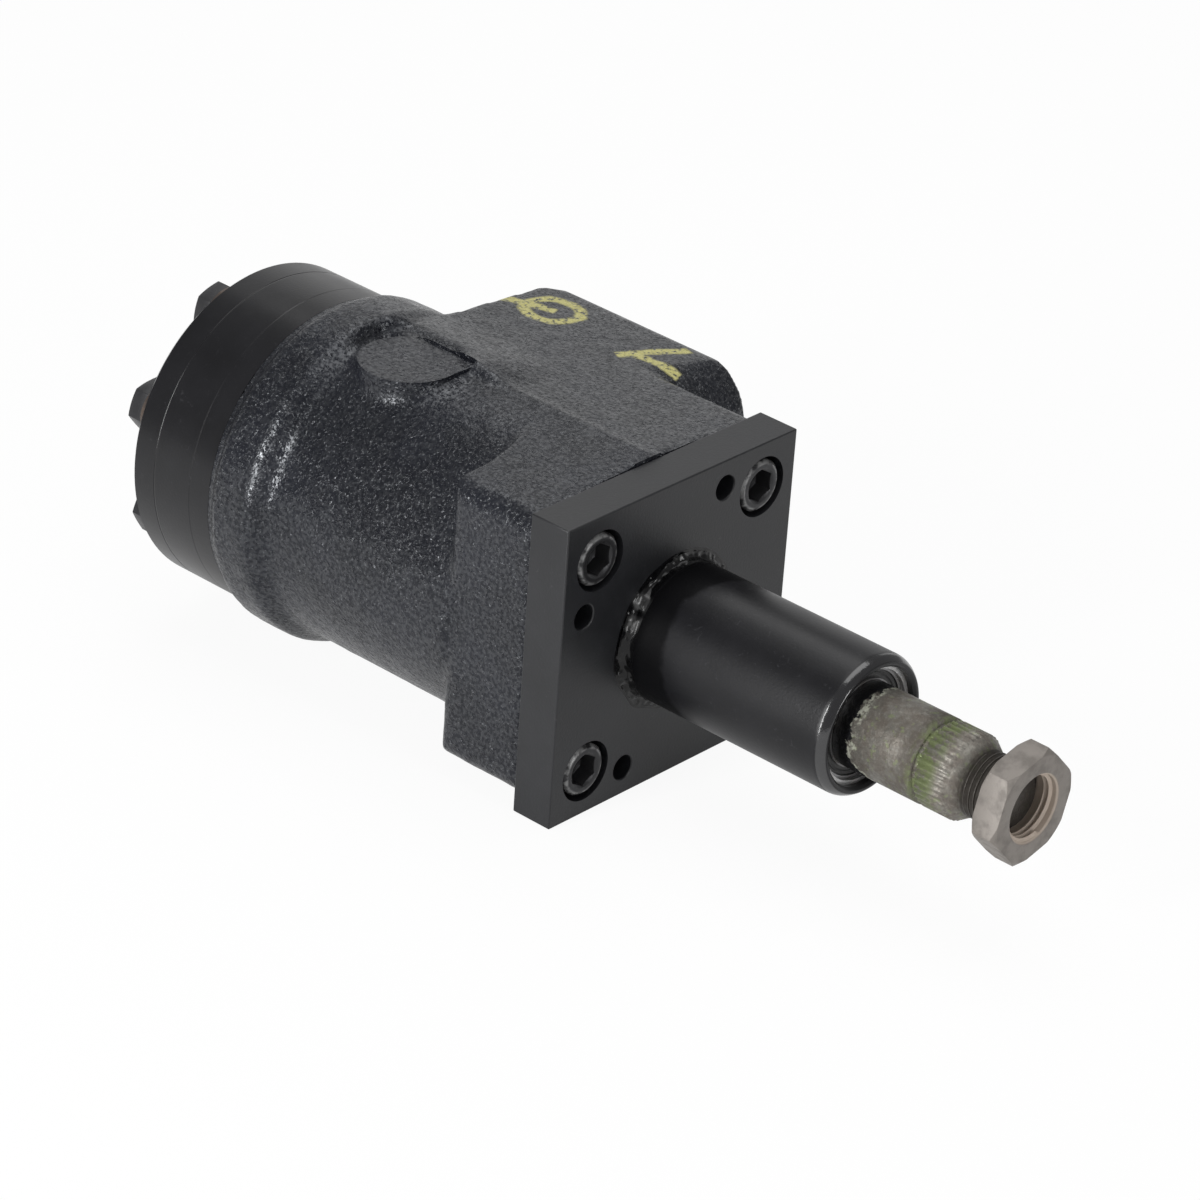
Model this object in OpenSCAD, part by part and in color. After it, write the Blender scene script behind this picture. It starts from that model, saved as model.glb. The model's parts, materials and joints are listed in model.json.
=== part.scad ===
// Hydraulic steering unit with an integral welded column, lying as it rests on a bench.
// X runs along the steering shaft towards its nut, Y points out of the port face and Z is up.
// The origin is on the shaft axis, at the front face of the mounting plate.

/* [Mounting plate] */
// Side of the square mounting plate
plate_w = 85; // [82:0.5:96]
// Thickness of the mounting plate
plate_t = 12.5; // [12:0.5:18]
// Spacing of the four plate screws, the same both ways
screw_pitch = 60.2; // [59:0.2:63]
// Thread diameter of the plate screws
screw_d = 9.5; // [8:0.5:10]
// Head diameter of the plate screws
screw_head_d = 14.2; // [13:0.2:15]
// Head height of the plate screws
screw_head_h = 9.2; // [7:0.2:9.6]
// Width across flats of the hexagon socket in the plate screws
screw_socket_af = 8; // [6:0.5:9]
// Length of the plate screws below the head
screw_len = 22; // [16:1:24]
// Pitch circle of the four tapped bracket holes
bracket_pcd = 76.2; // [74:0.2:80]
// Core diameter of the tapped bracket holes
bracket_hole_d = 6.8; // [5:0.2:8]
// Angle of the first bracket hole about the shaft axis
bracket_turn = 65.5; // [64:0.5:68]

/* [Column tube] */
// Outside diameter of the column tube
tube_d = 38.1; // [37.5:0.1:42]
// Length of the column tube in front of the plate
tube_len = 66; // [50:1:90]
// Bore of the column tube behind its bearing
tube_bore_d = 27; // [25:0.5:29]
// Leg of the fillet weld between tube and plate
weld_leg = 5.5; // [3:0.5:7]

/* [Column bearing] */
// Outside diameter of the bearing
bearing_od = 32; // [31:0.1:33.5]
// Bore of the bearing, which is the seat on the shaft
bearing_id = 20; // [19:0.1:20.6]
// Width of the bearing
bearing_w = 7; // [6.5:0.1:9]
// Diameter of the bearing balls
ball_d = 4; // [3.4:0.1:4.2]
// Number of bearing balls
ball_count = 12; // [8:1:14]
// Depth of the bearing's front face below the mouth of the tube
bearing_depth = 3.6; // [3:0.2:6]
// Thickness of the retaining ring
snap_t = 1.2; // [1:0.1:1.5]

/* [Steering shaft] */
// Diameter of the shaft in front of its bearing
shaft_d = 23; // [22:0.1:24.5]
// Diameter of the shaft inside the column
shank_d = 18; // [16:0.5:18.5]
// Where the shaft's serrations start, from the plate's front face
serration_x = 80.5; // [76:0.5:84]
// Length of the serrations
serration_len = 17.5; // [14:0.5:20]
// Number of serrations
serration_count = 40; // [24:1:48]
// Depth of the serrations
serration_depth = 0.55; // [0.3:0.05:0.8]
// Major diameter of the shaft's thread
thread_d = 17.8; // [16:0.1:18.5]
// Length of the threaded end
thread_len = 11; // [9:0.5:16]
// Width across flats of the wheel nut
nut_af = 27; // [25:0.5:30]
// Height of the wheel nut
nut_h = 9; // [7:0.5:12]
// How far the wheel nut stands past the end of the thread
nut_overhang = 5.3; // [2:0.1:6]
// Angle of the nut's first corner about the shaft axis
nut_turn = 17; // [0:1:59]

/* [Housing casting] */
// Length of the casting from the plate to the spacer plate
housing_len = 111; // [109:0.5:118]
// Diameter of the casting's round body
body_d = 86.8; // [85:0.2:90]
// Diameter of the rim at the rear of the casting
rim_d = 94; // [92:0.5:98]
// Width of the rim where it is full size
rim_w = 10.5; // [8:0.5:12]
// Length of the square front flange
flange_len = 28.5; // [25:0.5:32]
// How far the flange sides lie inside the plate sides
flange_inset = 0.3; // [0:0.1:1]
// Height of the casting's ridge above the shaft axis
ridge_z = 43.7; // [43.6:0.1:45]
// How far the casting's flat underside lies above the plate's lower edge
base_rise = 0.3; // [0.2:0.1:2]
// Draft of the casting's top and bottom, in degrees
draft = 4.8; // [2:0.2:6]
// Distance of the port face from the shaft axis
port_face_y = 64.5; // [62:0.5:72]
// Distance of the port block's front end behind the plate
block_setback = 21.5; // [18:0.5:24]
// Distance of the port block's rear end in front of the rear face
block_rear = 18; // [16:0.5:20]
// Radius of the port block's front corners, seen from the port side
block_corner_r = 20; // [12:1:22]
// Radius of the half-round boss on top of the casting
boss_r = 14; // [12:0.5:15]
// Height of the half-round boss above the shaft axis
boss_z = 42.3; // [42:0.1:43]

/* [Ports] */
// Core diameter of the four threaded ports
port_d = 17.4; // [14:0.2:18.6]
// Depth of the shallowest port
port_depth = 15; // [12:0.5:16]
// How much deeper each port is than the one before
port_step = 0.4; // [0.2:0.1:0.6]
// Diameter of the ports' spot faces
spot_d = 30; // [26:0.5:32]
// Distance from the plate to the first pair of ports
port_setback = 45; // [43:0.5:46]
// Spacing of the ports along the shaft
port_pitch = 35; // [34:0.5:36]
// Spacing of the ports across the shaft
port_rise = 34; // [32:0.5:36]
// Diameter of the check ball behind the pressure port
check_ball_d = 7; // [5:0.2:7.2]
// Free travel of the check ball
check_travel = 2.5; // [1.5:0.1:3]

/* [Valve] */
// Diameter of the rotary sleeve
sleeve_d = 38; // [37:0.1:40]
// Diameter of the rotary spool
spool_d = 25.5; // [25:0.1:27]
// Bore of the spool behind its web
spool_bore_d = 18; // [17.6:0.1:19]
// Diameter of the spool's neck through the seals
neck_d = 21; // [20.5:0.1:22]
// Length of the casting's front wall around the neck
front_wall = 19.5; // [18:0.5:20.5]
// Diameter of the cross pin
pin_d = 8; // [6:0.2:8.2]
// Travel of the spool in the sleeve to each side, in degrees
valve_travel = 8; // [5:0.5:10]
// Thickness of the thrust races
race_t = 1; // [0.8:0.1:1.5]
// Diameter of the thrust needles
needle_d = 2; // [1.5:0.1:2.5]
// Number of thrust needles
needle_count = 20; // [12:1:24]

/* [Gear set] */
// Outside diameter of the gear ring, spacer plate and end cap
gear_d = 89; // [87:0.5:91]
// Width of the gear ring
ring_t = 13.5; // [10:0.5:20]
// Thickness of the spacer plate
spacer_t = 7; // [6:0.5:9]
// Thickness of the end cap
cap_t = 8.6; // [7:0.2:12]
// Eccentricity of the star in the ring
ecc = 3; // [2.6:0.1:3]
// Radius of the circle through the centres of the ring's lobes
lobe_circle_r = 32; // [31:0.1:32.4]
// Radius of the ring's lobes
lobe_r = 8; // [7:0.1:8.4]
// Length of the drive shaft's splined head
drive_head_len = 10.5; // [8:0.5:10.5]
// Diameter of the drive shaft between its heads
drive_d = 11; // [9:0.5:11.5]

/* [End cap bolts] */
// Thread diameter of the end cap bolts
bolt_d = 8; // [6:0.5:8]
// Width across flats of the bolt heads
bolt_af = 13; // [11:0.5:13]
// Height of the bolt heads
bolt_head_h = 5.3; // [4:0.1:7]
// Radius of the bolt circle
bolt_circle_r = 35.5; // [35:0.1:36]
// Angle of the first bolt about the shaft axis
bolt_turn = 107.3; // [100:0.1:115]
// Thickness of the sealing washers
washer_t = 1.2; // [0.8:0.1:2]
// Depth of the bolt threads in the casting
bolt_grip = 14; // [10:0.5:16]

/* [Fits] */
// Radial clearance of a part that turns in another
run_gap = 0.04; // [0.02:0.01:0.08]
// Radial clearance of a part that is fixed in another
seat_gap = 0.02; // [0.01:0.01:0.05]
// Clearance between the star and the ring
star_gap = 0.08; // [0.05:0.01:0.12]
// Clearance around the drive shaft's crowned splines
spline_gap = 0.4; // [0.35:0.05:0.5]
// Section of the O-rings, squeezed
oring_t = 2; // [1.6:0.1:2.2]

/* [Hidden] */
$fn = 96;
// Overlap of a cut past the face that it opens
cut = 1;

// Faces along the shaft axis, from the plate to the end cap
x_pb = -plate_t;
x_hb = x_pb - housing_len;
x_sp = x_hb - spacer_t;
x_rg = x_sp - ring_t;
x_cap = x_rg - cap_t;
x_flange = x_pb - flange_len;
x_block_front = x_pb - block_setback;
x_block_rear = x_hb + block_rear;

// Casting
body_r = body_d / 2;
rim_r = rim_d / 2;
gear_r = gear_d / 2;
flange_hw = plate_w / 2 - flange_inset;
base_z = plate_w / 2 - base_rise;
ridge_slope_w = 3;
ridge_foot_z = body_r - 0.15;
flange_edge_near = 6;
flange_edge_far = 2;
flange_rear_r = 5;
flange_bow = 5.2;
flange_bow_w = 30;
block_far_r = 9;
block_edge_r = 2.5;
rim_lead = 4.5;
rim_slope = 7.5;
boss_x = x_pb - 79.5;
boss_y = -5.2;
boss_cut_y = 5.8;
boss_fillet = 9;
boss_foot_z = boss_z - 14;

// Column mouth: bearing, retaining ring and shaft shoulder
x_brg_front = tube_len - bearing_depth;
x_brg_rear = x_brg_front - bearing_w;
tube_r = tube_d / 2;
tube_seat = plate_t - 0.5;
mouth_r = bearing_od / 2 + seat_gap;
snap_groove = 0.9;
snap_gap = 0.05;
ball_pitch_r = (bearing_od + bearing_id) / 4;
land_in_r = ball_pitch_r - 0.29 * ball_d;
land_out_r = ball_pitch_r + 0.29 * ball_d;
ball_gap = 0.03;
shield_t = 0.4;
shield_inset = 0.3;

// Steering shaft
shaft_r = shaft_d / 2;
shaft_seat_r = bearing_id / 2 - seat_gap;
x_serration_end = serration_x + serration_len;
serration_groove_x = serration_x + 6.4;
serration_groove_w = 1.7;
collar_taper = 2.5;
x_thread = x_serration_end + collar_taper;
x_shaft_end = x_thread + thread_len;
x_nut_front = x_shaft_end + nut_overhang;
x_nut_rear = x_nut_front - nut_h;
nut_corner_r = nut_af / 2 / cos(30);

// Thrust bearing and valve
sleeve_r = sleeve_d / 2 - run_gap;
spool_r = spool_d / 2;
sleeve_bore_r = spool_r + run_gap;
neck_r = neck_d / 2;
spool_bore_r = spool_bore_d / 2;
axial_gap = 0.05;
x_shoulder = x_pb - front_wall;
x_race1 = x_shoulder - race_t;
x_race2 = x_race1 - needle_d;
x_sleeve = x_race2 - race_t - axial_gap;
x_sleeve_rear = x_hb + 2.5;
race_out_r = sleeve_r - 0.4;
race_in_r = neck_r + 2.2;
needle_len = race_out_r - race_in_r - 1.2;
needle_mid_r = (race_out_r + race_in_r) / 2;
needle_gap = 0.02;
port_x = [x_pb - port_setback, x_pb - port_setback - port_pitch];
x_pin = (port_x[0] + port_x[1]) / 2;
pin_r = pin_d / 2;
pin_slot_r = pin_r + spool_r * sin(valve_travel) + 0.15;
pin_groove_w = pin_d + 2;
pin_groove_t = 1;
x_spring = x_sleeve - 8.5;
spring_w = 5;
leaf_t = 0.45;
leaf_count = 6;
leaf_gap = 0.02;
spring_h = leaf_count * (leaf_t + leaf_gap);
spring_len = sleeve_d - 1;
x_web_rear = x_spring - spring_w / 2 - 5;
x_spool_rear = x_sleeve_rear;
neck_front = 1;
x_spool_front = x_pb - neck_front;

// Splines between shaft and spool, and between drive shaft and star
shaft_spline_n = 12;
shaft_spline_r = 8;
shaft_spline_root = 7;
shaft_spline_gap = 0.06;
shaft_spline_len = 17;
x_socket = x_spool_front - shaft_spline_len - 1;
star_spline_n = 12;
star_spline_r = 11;
star_spline_minor = 9.2;

// Gear set, a ring with one lobe more than the star has
star_n = 6;
ring_n = star_n + 1;
star_steps = 36;
star_crowding = 0.8;
star_turn = ring_n / star_n * bolt_turn - 180 / star_n;
pocket_r = lobe_circle_r + 2 * ecc - lobe_r + 0.1;
x_star = x_rg + ring_t / 2;
star_side_gap = 0.03;
drive_span = norm([x_pin - x_star, ecc]);
drive_tilt = asin(ecc / drive_span);
drive_end_gap = 0.6;
spacer_disc_t = 1.6;
fork_r = spool_bore_r - 0.7;
fork_back = 9.5;
fork_front = 8.5;
fork_gap = 0.15;
plate_bore_r = star_spline_r + 0.6;

// Oil ways
groove_offset = 4.5;
gallery_w = 4;
gallery_r = sleeve_d / 2 + 2.5;
passage_r = 3.2;
gear_port_circle_r = 27.5;
gear_port_r = 2.4;
x_gear_port = x_hb + 11.5;

// Seals
seal_r = 15;
seal_w = 5;
backup_w = 1.5;
dust_r = 14;
dust_w = 5;
oring_mid_r = gear_r - 2.7;
oring_groove_w = oring_t + 0.6;

// Bolts, washers and screws
washer_r = bolt_af / 2 + 1;
bolt_hole_r = bolt_d / 2 + 0.25;
bolt_len = washer_t + cap_t + ring_t + spacer_t + bolt_grip;
screw_hole_r = screw_d / 2 + 0.3;
cbore_r = screw_head_d / 2 + 1.2;
cbore_depth = screw_head_h + 0.3;
screw_places = [for (sy = [-1, 1], sz = [-1, 1]) [sy, sz] * screw_pitch / 2];

// Check valve behind the lower rear port
check_x = port_x[1] - groove_offset + 0.6;
check_z = -port_rise / 2;
check_r = check_ball_d / 2 + 0.15;
check_seat_len = 3;
check_y = port_face_y - port_depth - check_seat_len - check_ball_d / 2;
check_floor_y = check_y - check_ball_d / 2 - check_travel - 0.1;

// Points on an arc in the plane of a profile
function arc(c, r, a0, a1, n = 8) =
    [for (i = [0:n]) let (a = a0 + (a1 - a0) * i / n) c + r * [cos(a), sin(a)]];

// A soft step from one point of a profile to another
function blend(p, q, n = 6) =
    [for (i = [0:n]) [p[0] + (q[0] - p[0]) * (1 - cos(180 * i / n)) / 2, p[1] + (q[1] - p[1]) * i / n]];

// Straight-sided teeth around a circle
function tooth_points(n, tip_r, root_r, tip_share = 0.3, root_share = 0.3) =
    [for (i = [0:n - 1], k = [0:3])
        let (step = 360 / n,
             half = (k == 0 || k == 3 ? 1 - root_share : tip_share) / 2 * step,
             a = i * step + (k < 2 ? -half : half),
             r = k == 0 || k == 3 ? root_r : tip_r)
        r * [cos(a), sin(a)]];

// Outline of the star: the path of a lobe's centre seen from the star, moved in by the lobe's radius.
// Its points crowd together in the hollows, where the curve runs fastest.
function star_points() =
    [for (i = [0:star_n * star_steps - 1])
        let (u = 360 * i / star_steps,
             t = (u + star_crowding * sin(u) * 180 / PI) / star_n,
             p = lobe_circle_r * [cos(t), sin(t)] + ecc * [cos(ring_n * t), sin(ring_n * t)],
             d = lobe_circle_r * [-sin(t), cos(t)] + ring_n * ecc * [-sin(ring_n * t), cos(ring_n * t)])
        p + (lobe_r + star_gap) * [-d[1], d[0]] / norm(d)];

// Height of the casting's top and depth of its underside, with draft to both sides of the ridge
function top_height(y) = ridge_z - tan(draft) * abs(y);
function base_depth(y) = base_z - tan(draft) * abs(y);

// Far half of the casting's square front, and of all that reaches to the port side
function far_section() =
    let (y = flange_hw - flange_edge_far, e = flange_edge_far)
    concat([[0, -base_z]], arc([y, e - base_depth(y)], e, -90, 0, 4),
           arc([y, top_height(y) - e], e, 0, 90, 4), [[0, ridge_z], [-ridge_slope_w, ridge_foot_z]]);

// Near half of the casting's square front
function near_section() =
    let (y = flange_hw - flange_edge_near, e = flange_edge_near)
    concat([[0, ridge_z]], arc([-y, top_height(y) - e], e, 90, 180),
           arc([-y, e - base_depth(y)], e, 180, 270), [[0, -base_z]]);

// A profile of [radius, x] points turned about the shaft axis
module revolve(points) {
    rotate([0, 90, 0]) rotate_extrude() polygon(points);
}

// A tube along the shaft axis
module ring_x(x0, x1, r_out, r_in) {
    revolve([[r_in, x0], [r_out, x0], [r_out, x1], [r_in, x1]]);
}

// A round bar along the shaft axis
module bar_x(x0, x1, r) {
    translate([x0, 0, 0]) rotate([0, 90, 0]) cylinder(h = x1 - x0, r = r);
}

// A flat outline in Y and Z drawn out along the shaft axis
module extrude_x(x0, x1) {
    translate([x0, 0, 0]) rotate([90, 0, 90]) linear_extrude(x1 - x0) children();
}

// Copies around the shaft axis, the first at an angle from Y towards Z
module around_x(n, r, turn = 0) {
    for (i = [0:n - 1]) rotate([turn + i * 360 / n, 0, 0]) translate([0, r, 0]) children();
}

// An O-ring, squeezed to the depth of its groove
module face_oring(x0) {
    revolve([for (i = [0:15])
        [oring_mid_r, x0 + oring_t / 2] + oring_t / 2 * [cos(22.5 * i), sin(22.5 * i)]]);
}

module oring_groove(x0, x1) {
    ring_x(x0, x1, oring_mid_r + oring_groove_w / 2, oring_mid_r - oring_groove_w / 2);
}

// A hexagon along the shaft axis with both ends turned off at 30 degrees
module hex_x(x0, x1, af, turn, front_chamfer = true, rear_chamfer = true) {
    corner = af / 2 / cos(30);
    ease = (corner - af / 2) * tan(30);
    slope = 1.6;
    intersection() {
        rotate([turn, 0, 0]) translate([x0, 0, 0]) rotate([0, 90, 0])
            cylinder(h = x1 - x0, r = corner, $fn = 6);
        revolve([[0, x0], [rear_chamfer ? corner - slope : corner, x0],
                 [corner, x0 + (rear_chamfer ? ease : 0.01)],
                 [corner, x1 - (front_chamfer ? ease : 0.01)],
                 [front_chamfer ? corner - slope : corner, x1], [0, x1]]);
    }
}

module gear_bolt_holes(x0, x1, r) {
    around_x(ring_n, bolt_circle_r, bolt_turn) bar_x(x0, x1, r);
}

module gear_ports(x0, x1) {
    around_x(ring_n, gear_port_circle_r, bolt_turn + 180 / ring_n) bar_x(x0, x1, gear_port_r);
}

module end_cap() {
    edge = 1.2;
    color([0.07, 0.07, 0.075]) difference() {
        revolve([[0, x_cap], [gear_r - edge, x_cap], [gear_r, x_cap + edge], [gear_r, x_rg], [0, x_rg]]);
        gear_bolt_holes(x_cap - cut, x_rg + cut, bolt_hole_r);
        oring_groove(x_rg - oring_t, x_rg + cut);
    }
}

module end_cap_bolts() {
    head_x = x_cap - washer_t;
    tip = 1;
    color([0.09, 0.09, 0.095]) around_x(ring_n, bolt_circle_r, bolt_turn) {
        hex_x(head_x - bolt_head_h, head_x, bolt_af, 0, front_chamfer = false);
        revolve([[0, head_x - 0.5], [bolt_d / 2, head_x - 0.5], [bolt_d / 2, head_x + bolt_len - tip],
                 [bolt_d / 2 - tip, head_x + bolt_len], [0, head_x + bolt_len]]);
    }
}

module bolt_washers() {
    color([0.32, 0.28, 0.25]) around_x(ring_n, bolt_circle_r, bolt_turn)
        ring_x(x_cap - washer_t, x_cap, washer_r, bolt_d / 2 + seat_gap);
}

module end_cap_oring() {
    color([0.03, 0.03, 0.03]) face_oring(x_rg - oring_t);
}

module gerotor_ring() {
    edge = 0.4;
    color([0.1, 0.1, 0.105]) difference() {
        revolve([[0, x_rg], [gear_r - edge, x_rg], [gear_r, x_rg + edge],
                 [gear_r, x_sp - edge], [gear_r - edge, x_sp], [0, x_sp]]);
        extrude_x(x_rg - cut, x_sp + cut) difference() {
            rotate(bolt_turn + 90 / ring_n) circle(pocket_r);
            for (i = [0:ring_n - 1]) rotate(bolt_turn + i * 360 / ring_n) translate([lobe_circle_r, 0])
                circle(lobe_r);
        }
        gear_bolt_holes(x_rg - cut, x_sp + cut, bolt_hole_r);
    }
}

module gerotor_star() {
    color([0.62, 0.62, 0.63]) translate([0, ecc, 0]) rotate([star_turn, 0, 0])
        extrude_x(x_rg + star_side_gap, x_sp - star_side_gap) difference() {
            polygon(star_points());
            polygon(tooth_points(star_spline_n, star_spline_r, star_spline_minor, 0.36, 0.36));
        }
}

module gear_ring_oring() {
    color([0.03, 0.03, 0.03]) face_oring(x_sp);
}

module spacer_plate() {
    color([0.1, 0.1, 0.105]) difference() {
        ring_x(x_sp, x_hb, gear_r, plate_bore_r);
        gear_bolt_holes(x_sp - cut, x_hb + cut, bolt_hole_r);
        gear_ports(x_sp - cut, x_hb + cut);
        oring_groove(x_sp - cut, x_sp + oring_t);
        oring_groove(x_hb - oring_t, x_hb + cut);
    }
}

module housing_oring() {
    color([0.03, 0.03, 0.03]) face_oring(x_hb - oring_t);
}

module drive_spacer() {
    ease = 0.3;
    r = star_spline_minor - 0.3;
    color([0.55, 0.55, 0.56]) translate([0, ecc, 0])
        revolve([[0, x_rg + 0.05], [r - ease, x_rg + 0.05], [r, x_rg + 0.05 + ease],
                 [r, x_rg + spacer_disc_t - ease], [r - ease, x_rg + spacer_disc_t],
                 [0, x_rg + spacer_disc_t]]);
}

// Drive shaft along X about the cross pin's centre, before it is tilted to the star
module drive_shaft_straight() {
    tip_r = star_spline_r - spline_gap;
    root_r = star_spline_minor - spline_gap;
    head_mid = -drive_span;
    head_x0 = head_mid - ring_t / 2 + spacer_disc_t + drive_end_gap;
    head_x1 = head_x0 + drive_head_len;
    crown = 0.9;
    slot_h = pin_d + 2 * fork_gap;
    difference() {
        revolve(concat([[0, head_x1 - cut], [drive_d / 2, head_x1 - cut], [drive_d / 2, -fork_back - 3]],
                       [[fork_r - 0.8, -fork_back], [fork_r, -fork_back + 1.2], [fork_r, fork_front - 2],
                        [fork_r - 1.5, fork_front], [0, fork_front]]));
        translate([-pin_r - fork_gap, -slot_h / 2, -fork_r - cut])
            cube([fork_front + fork_back, slot_h, 2 * (fork_r + cut)]);
        translate([-pin_r - fork_gap, 0, -fork_r - cut]) cylinder(h = 2 * (fork_r + cut), r = slot_h / 2);
    }
    intersection() {
        rotate([star_turn, 0, 0]) extrude_x(head_x0, head_x1)
            polygon(tooth_points(star_spline_n, tip_r, root_r, 0.26, 0.46));
        revolve([[0, head_x0], [tip_r - crown, head_x0], [tip_r + 0.2, head_x0 + drive_head_len / 2],
                 [tip_r - crown, head_x1], [0, head_x1]]);
    }
}

module drive_shaft() {
    color([0.5, 0.5, 0.52]) translate([x_pin, 0, 0]) rotate([0, 0, -drive_tilt]) drive_shaft_straight();
}

// Round body and rear rim of the casting
module casting_body() {
    lead = x_hb + 1;
    rim0 = x_hb + rim_lead;
    rim1 = rim0 + rim_w;
    neck_end_r = base_z - 0.7;
    edge = 0.2;
    revolve(concat([[0, x_hb], [gear_r - edge, x_hb], [gear_r, x_hb + edge]],
                   blend([gear_r, lead], [rim_r, rim0]),
                   blend([rim_r, rim1], [body_r, rim1 + rim_slope]),
                   blend([body_r, x_flange + 0.5], [neck_end_r, x_flange + 5]),
                   [[neck_end_r, x_flange + 8], [0, x_flange + 8]]));
}

// Near half of the square front, its rear edge bowed at the crown and rounded at the side and below
module casting_flange() {
    r = flange_rear_r;
    low_z = r - base_depth(flange_hw) - 1.5;
    x_bow = x_flange - flange_bow;
    steps = 12;
    intersection() {
        extrude_x(x_bow, x_pb) polygon(near_section());
        translate([0, 1, 0]) rotate([90, 0, 0]) linear_extrude(flange_hw + 2)
            polygon(concat([[x_pb, -ridge_z], [x_pb, ridge_z], [x_bow, ridge_z], [x_bow, low_z]],
                           arc([x_flange + r, low_z], r, 180, 270, 6),
                           [[x_flange + r + 6, -ridge_z]]));
        translate([0, 0, -ridge_z]) linear_extrude(2 * ridge_z)
            polygon(concat([[x_pb, -flange_hw], [x_pb, 0]],
                           [for (i = [0:steps])
                               [x_flange - flange_bow * (1 + cos(180 * i / steps)) / 2,
                                -flange_bow_w * i / steps]],
                           arc([x_flange + r, r - flange_hw], r, 180, 270, 6)));
    }
}

// Far half of the casting, which joins the square front to the port block
module casting_neck() {
    extrude_x(x_block_rear, x_pb) polygon(far_section());
}

// Port block: its height follows the draft, its front corners are large and round
module casting_block() {
    e = block_edge_r;
    ye = port_face_y - e;
    y0 = flange_hw - 2 * flange_edge_far;
    corner_x = x_block_front - block_corner_r;
    corner_z = top_height(flange_hw) - block_corner_r;
    corner_low_z = block_corner_r - base_depth(flange_hw);
    far_corner = [x_block_rear + block_far_r, port_face_y - block_far_r];
    intersection() {
        extrude_x(x_block_rear, x_block_front)
            polygon(concat([[y0, -base_depth(y0)]], arc([ye, e - base_depth(ye)], e, -90, 0, 4),
                           arc([ye, top_height(ye) - e], e, 0, 90, 4), [[y0, top_height(y0)]]));
        translate([0, port_face_y, 0]) rotate([90, 0, 0]) linear_extrude(port_face_y)
            polygon(concat([[x_block_rear, ridge_z], [x_block_rear, -ridge_z], [corner_x, -ridge_z]],
                           arc([corner_x, corner_low_z], block_corner_r, -90, 0, 10),
                           arc([corner_x, corner_z], block_corner_r, 0, 90, 10),
                           [[corner_x, ridge_z]]));
        translate([0, 0, -ridge_z]) linear_extrude(2 * ridge_z)
            polygon(concat([[x_block_rear, y0], [x_block_front, y0]],
                           arc([x_block_front - e, ye], e, 0, 90, 4),
                           arc(far_corner, block_far_r, 90, 180, 8)));
    }
}

// Half-round boss on top, with a cast fillet round its foot
module casting_boss() {
    intersection() {
        translate([boss_x, boss_y, 0]) rotate_extrude()
            polygon(concat([[0, boss_foot_z], [boss_r + boss_fillet, boss_foot_z]],
                           arc([boss_r + boss_fillet, boss_z - 0.8], boss_fillet, 270, 180, 8),
                           [[boss_r, boss_z - 0.5], [boss_r - 0.5, boss_z], [0, boss_z]]));
        translate([boss_x - 2 * boss_r, boss_y - 2 * boss_r, boss_foot_z])
            cube([4 * boss_r, boss_cut_y - boss_y + 2 * boss_r, boss_z]);
    }
}

// What is milled off the body over the boss's flat top
module boss_flat_cut() {
    r = boss_r + 0.6;
    intersection() {
        translate([boss_x, boss_y, boss_z]) cylinder(h = rim_r - boss_z + cut, r = r);
        translate([boss_x - 2 * r, boss_y - 2 * r, boss_z])
            cube([4 * r, boss_cut_y - boss_y + 2 * r, rim_r - boss_z + cut]);
    }
}

// Ports, their spot faces and the ways from them to the sleeve
module port_cuts() {
    spot = 0.5;
    lead = 1.4;
    half_rise = port_rise / 2;
    way_y = half_rise > gallery_r - passage_r ? 4 : sqrt(pow(gallery_r, 2) - pow(half_rise, 2)) - 3;
    for (i = [0, 1], s = [-1, 1]) {
        is_check = i == 1 && s == -1;
        px = port_x[i];
        gx = px + s * groove_offset;
        depth = port_depth + port_step * (is_check ? 0 : i + (s + 3) / 2);
        translate([px, port_face_y - depth, s * half_rise]) rotate([-90, 0, 0]) {
            cylinder(h = depth + cut, d = port_d);
            translate([0, 0, depth - spot]) cylinder(h = spot + cut, d = spot_d);
            translate([0, 0, depth - spot - lead])
                cylinder(h = lead + 0.01, r1 = port_d / 2, r2 = port_d / 2 + lead);
        }
        way_end = is_check ? check_floor_y + 0.5 : port_face_y - depth + 0.5;
        translate([is_check ? check_x : gx, way_y, s * half_rise]) rotate([-90, 0, 0])
            cylinder(h = way_end - way_y, r = is_check ? passage_r - 0.4 : passage_r);
        ring_x(gx - gallery_w / 2, gx + gallery_w / 2, gallery_r, sleeve_d / 2 - 1);
    }
    translate([check_x, check_floor_y, check_z]) rotate([-90, 0, 0])
        cylinder(h = port_face_y - port_depth - check_floor_y + 0.5, r = check_r);
}

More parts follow.
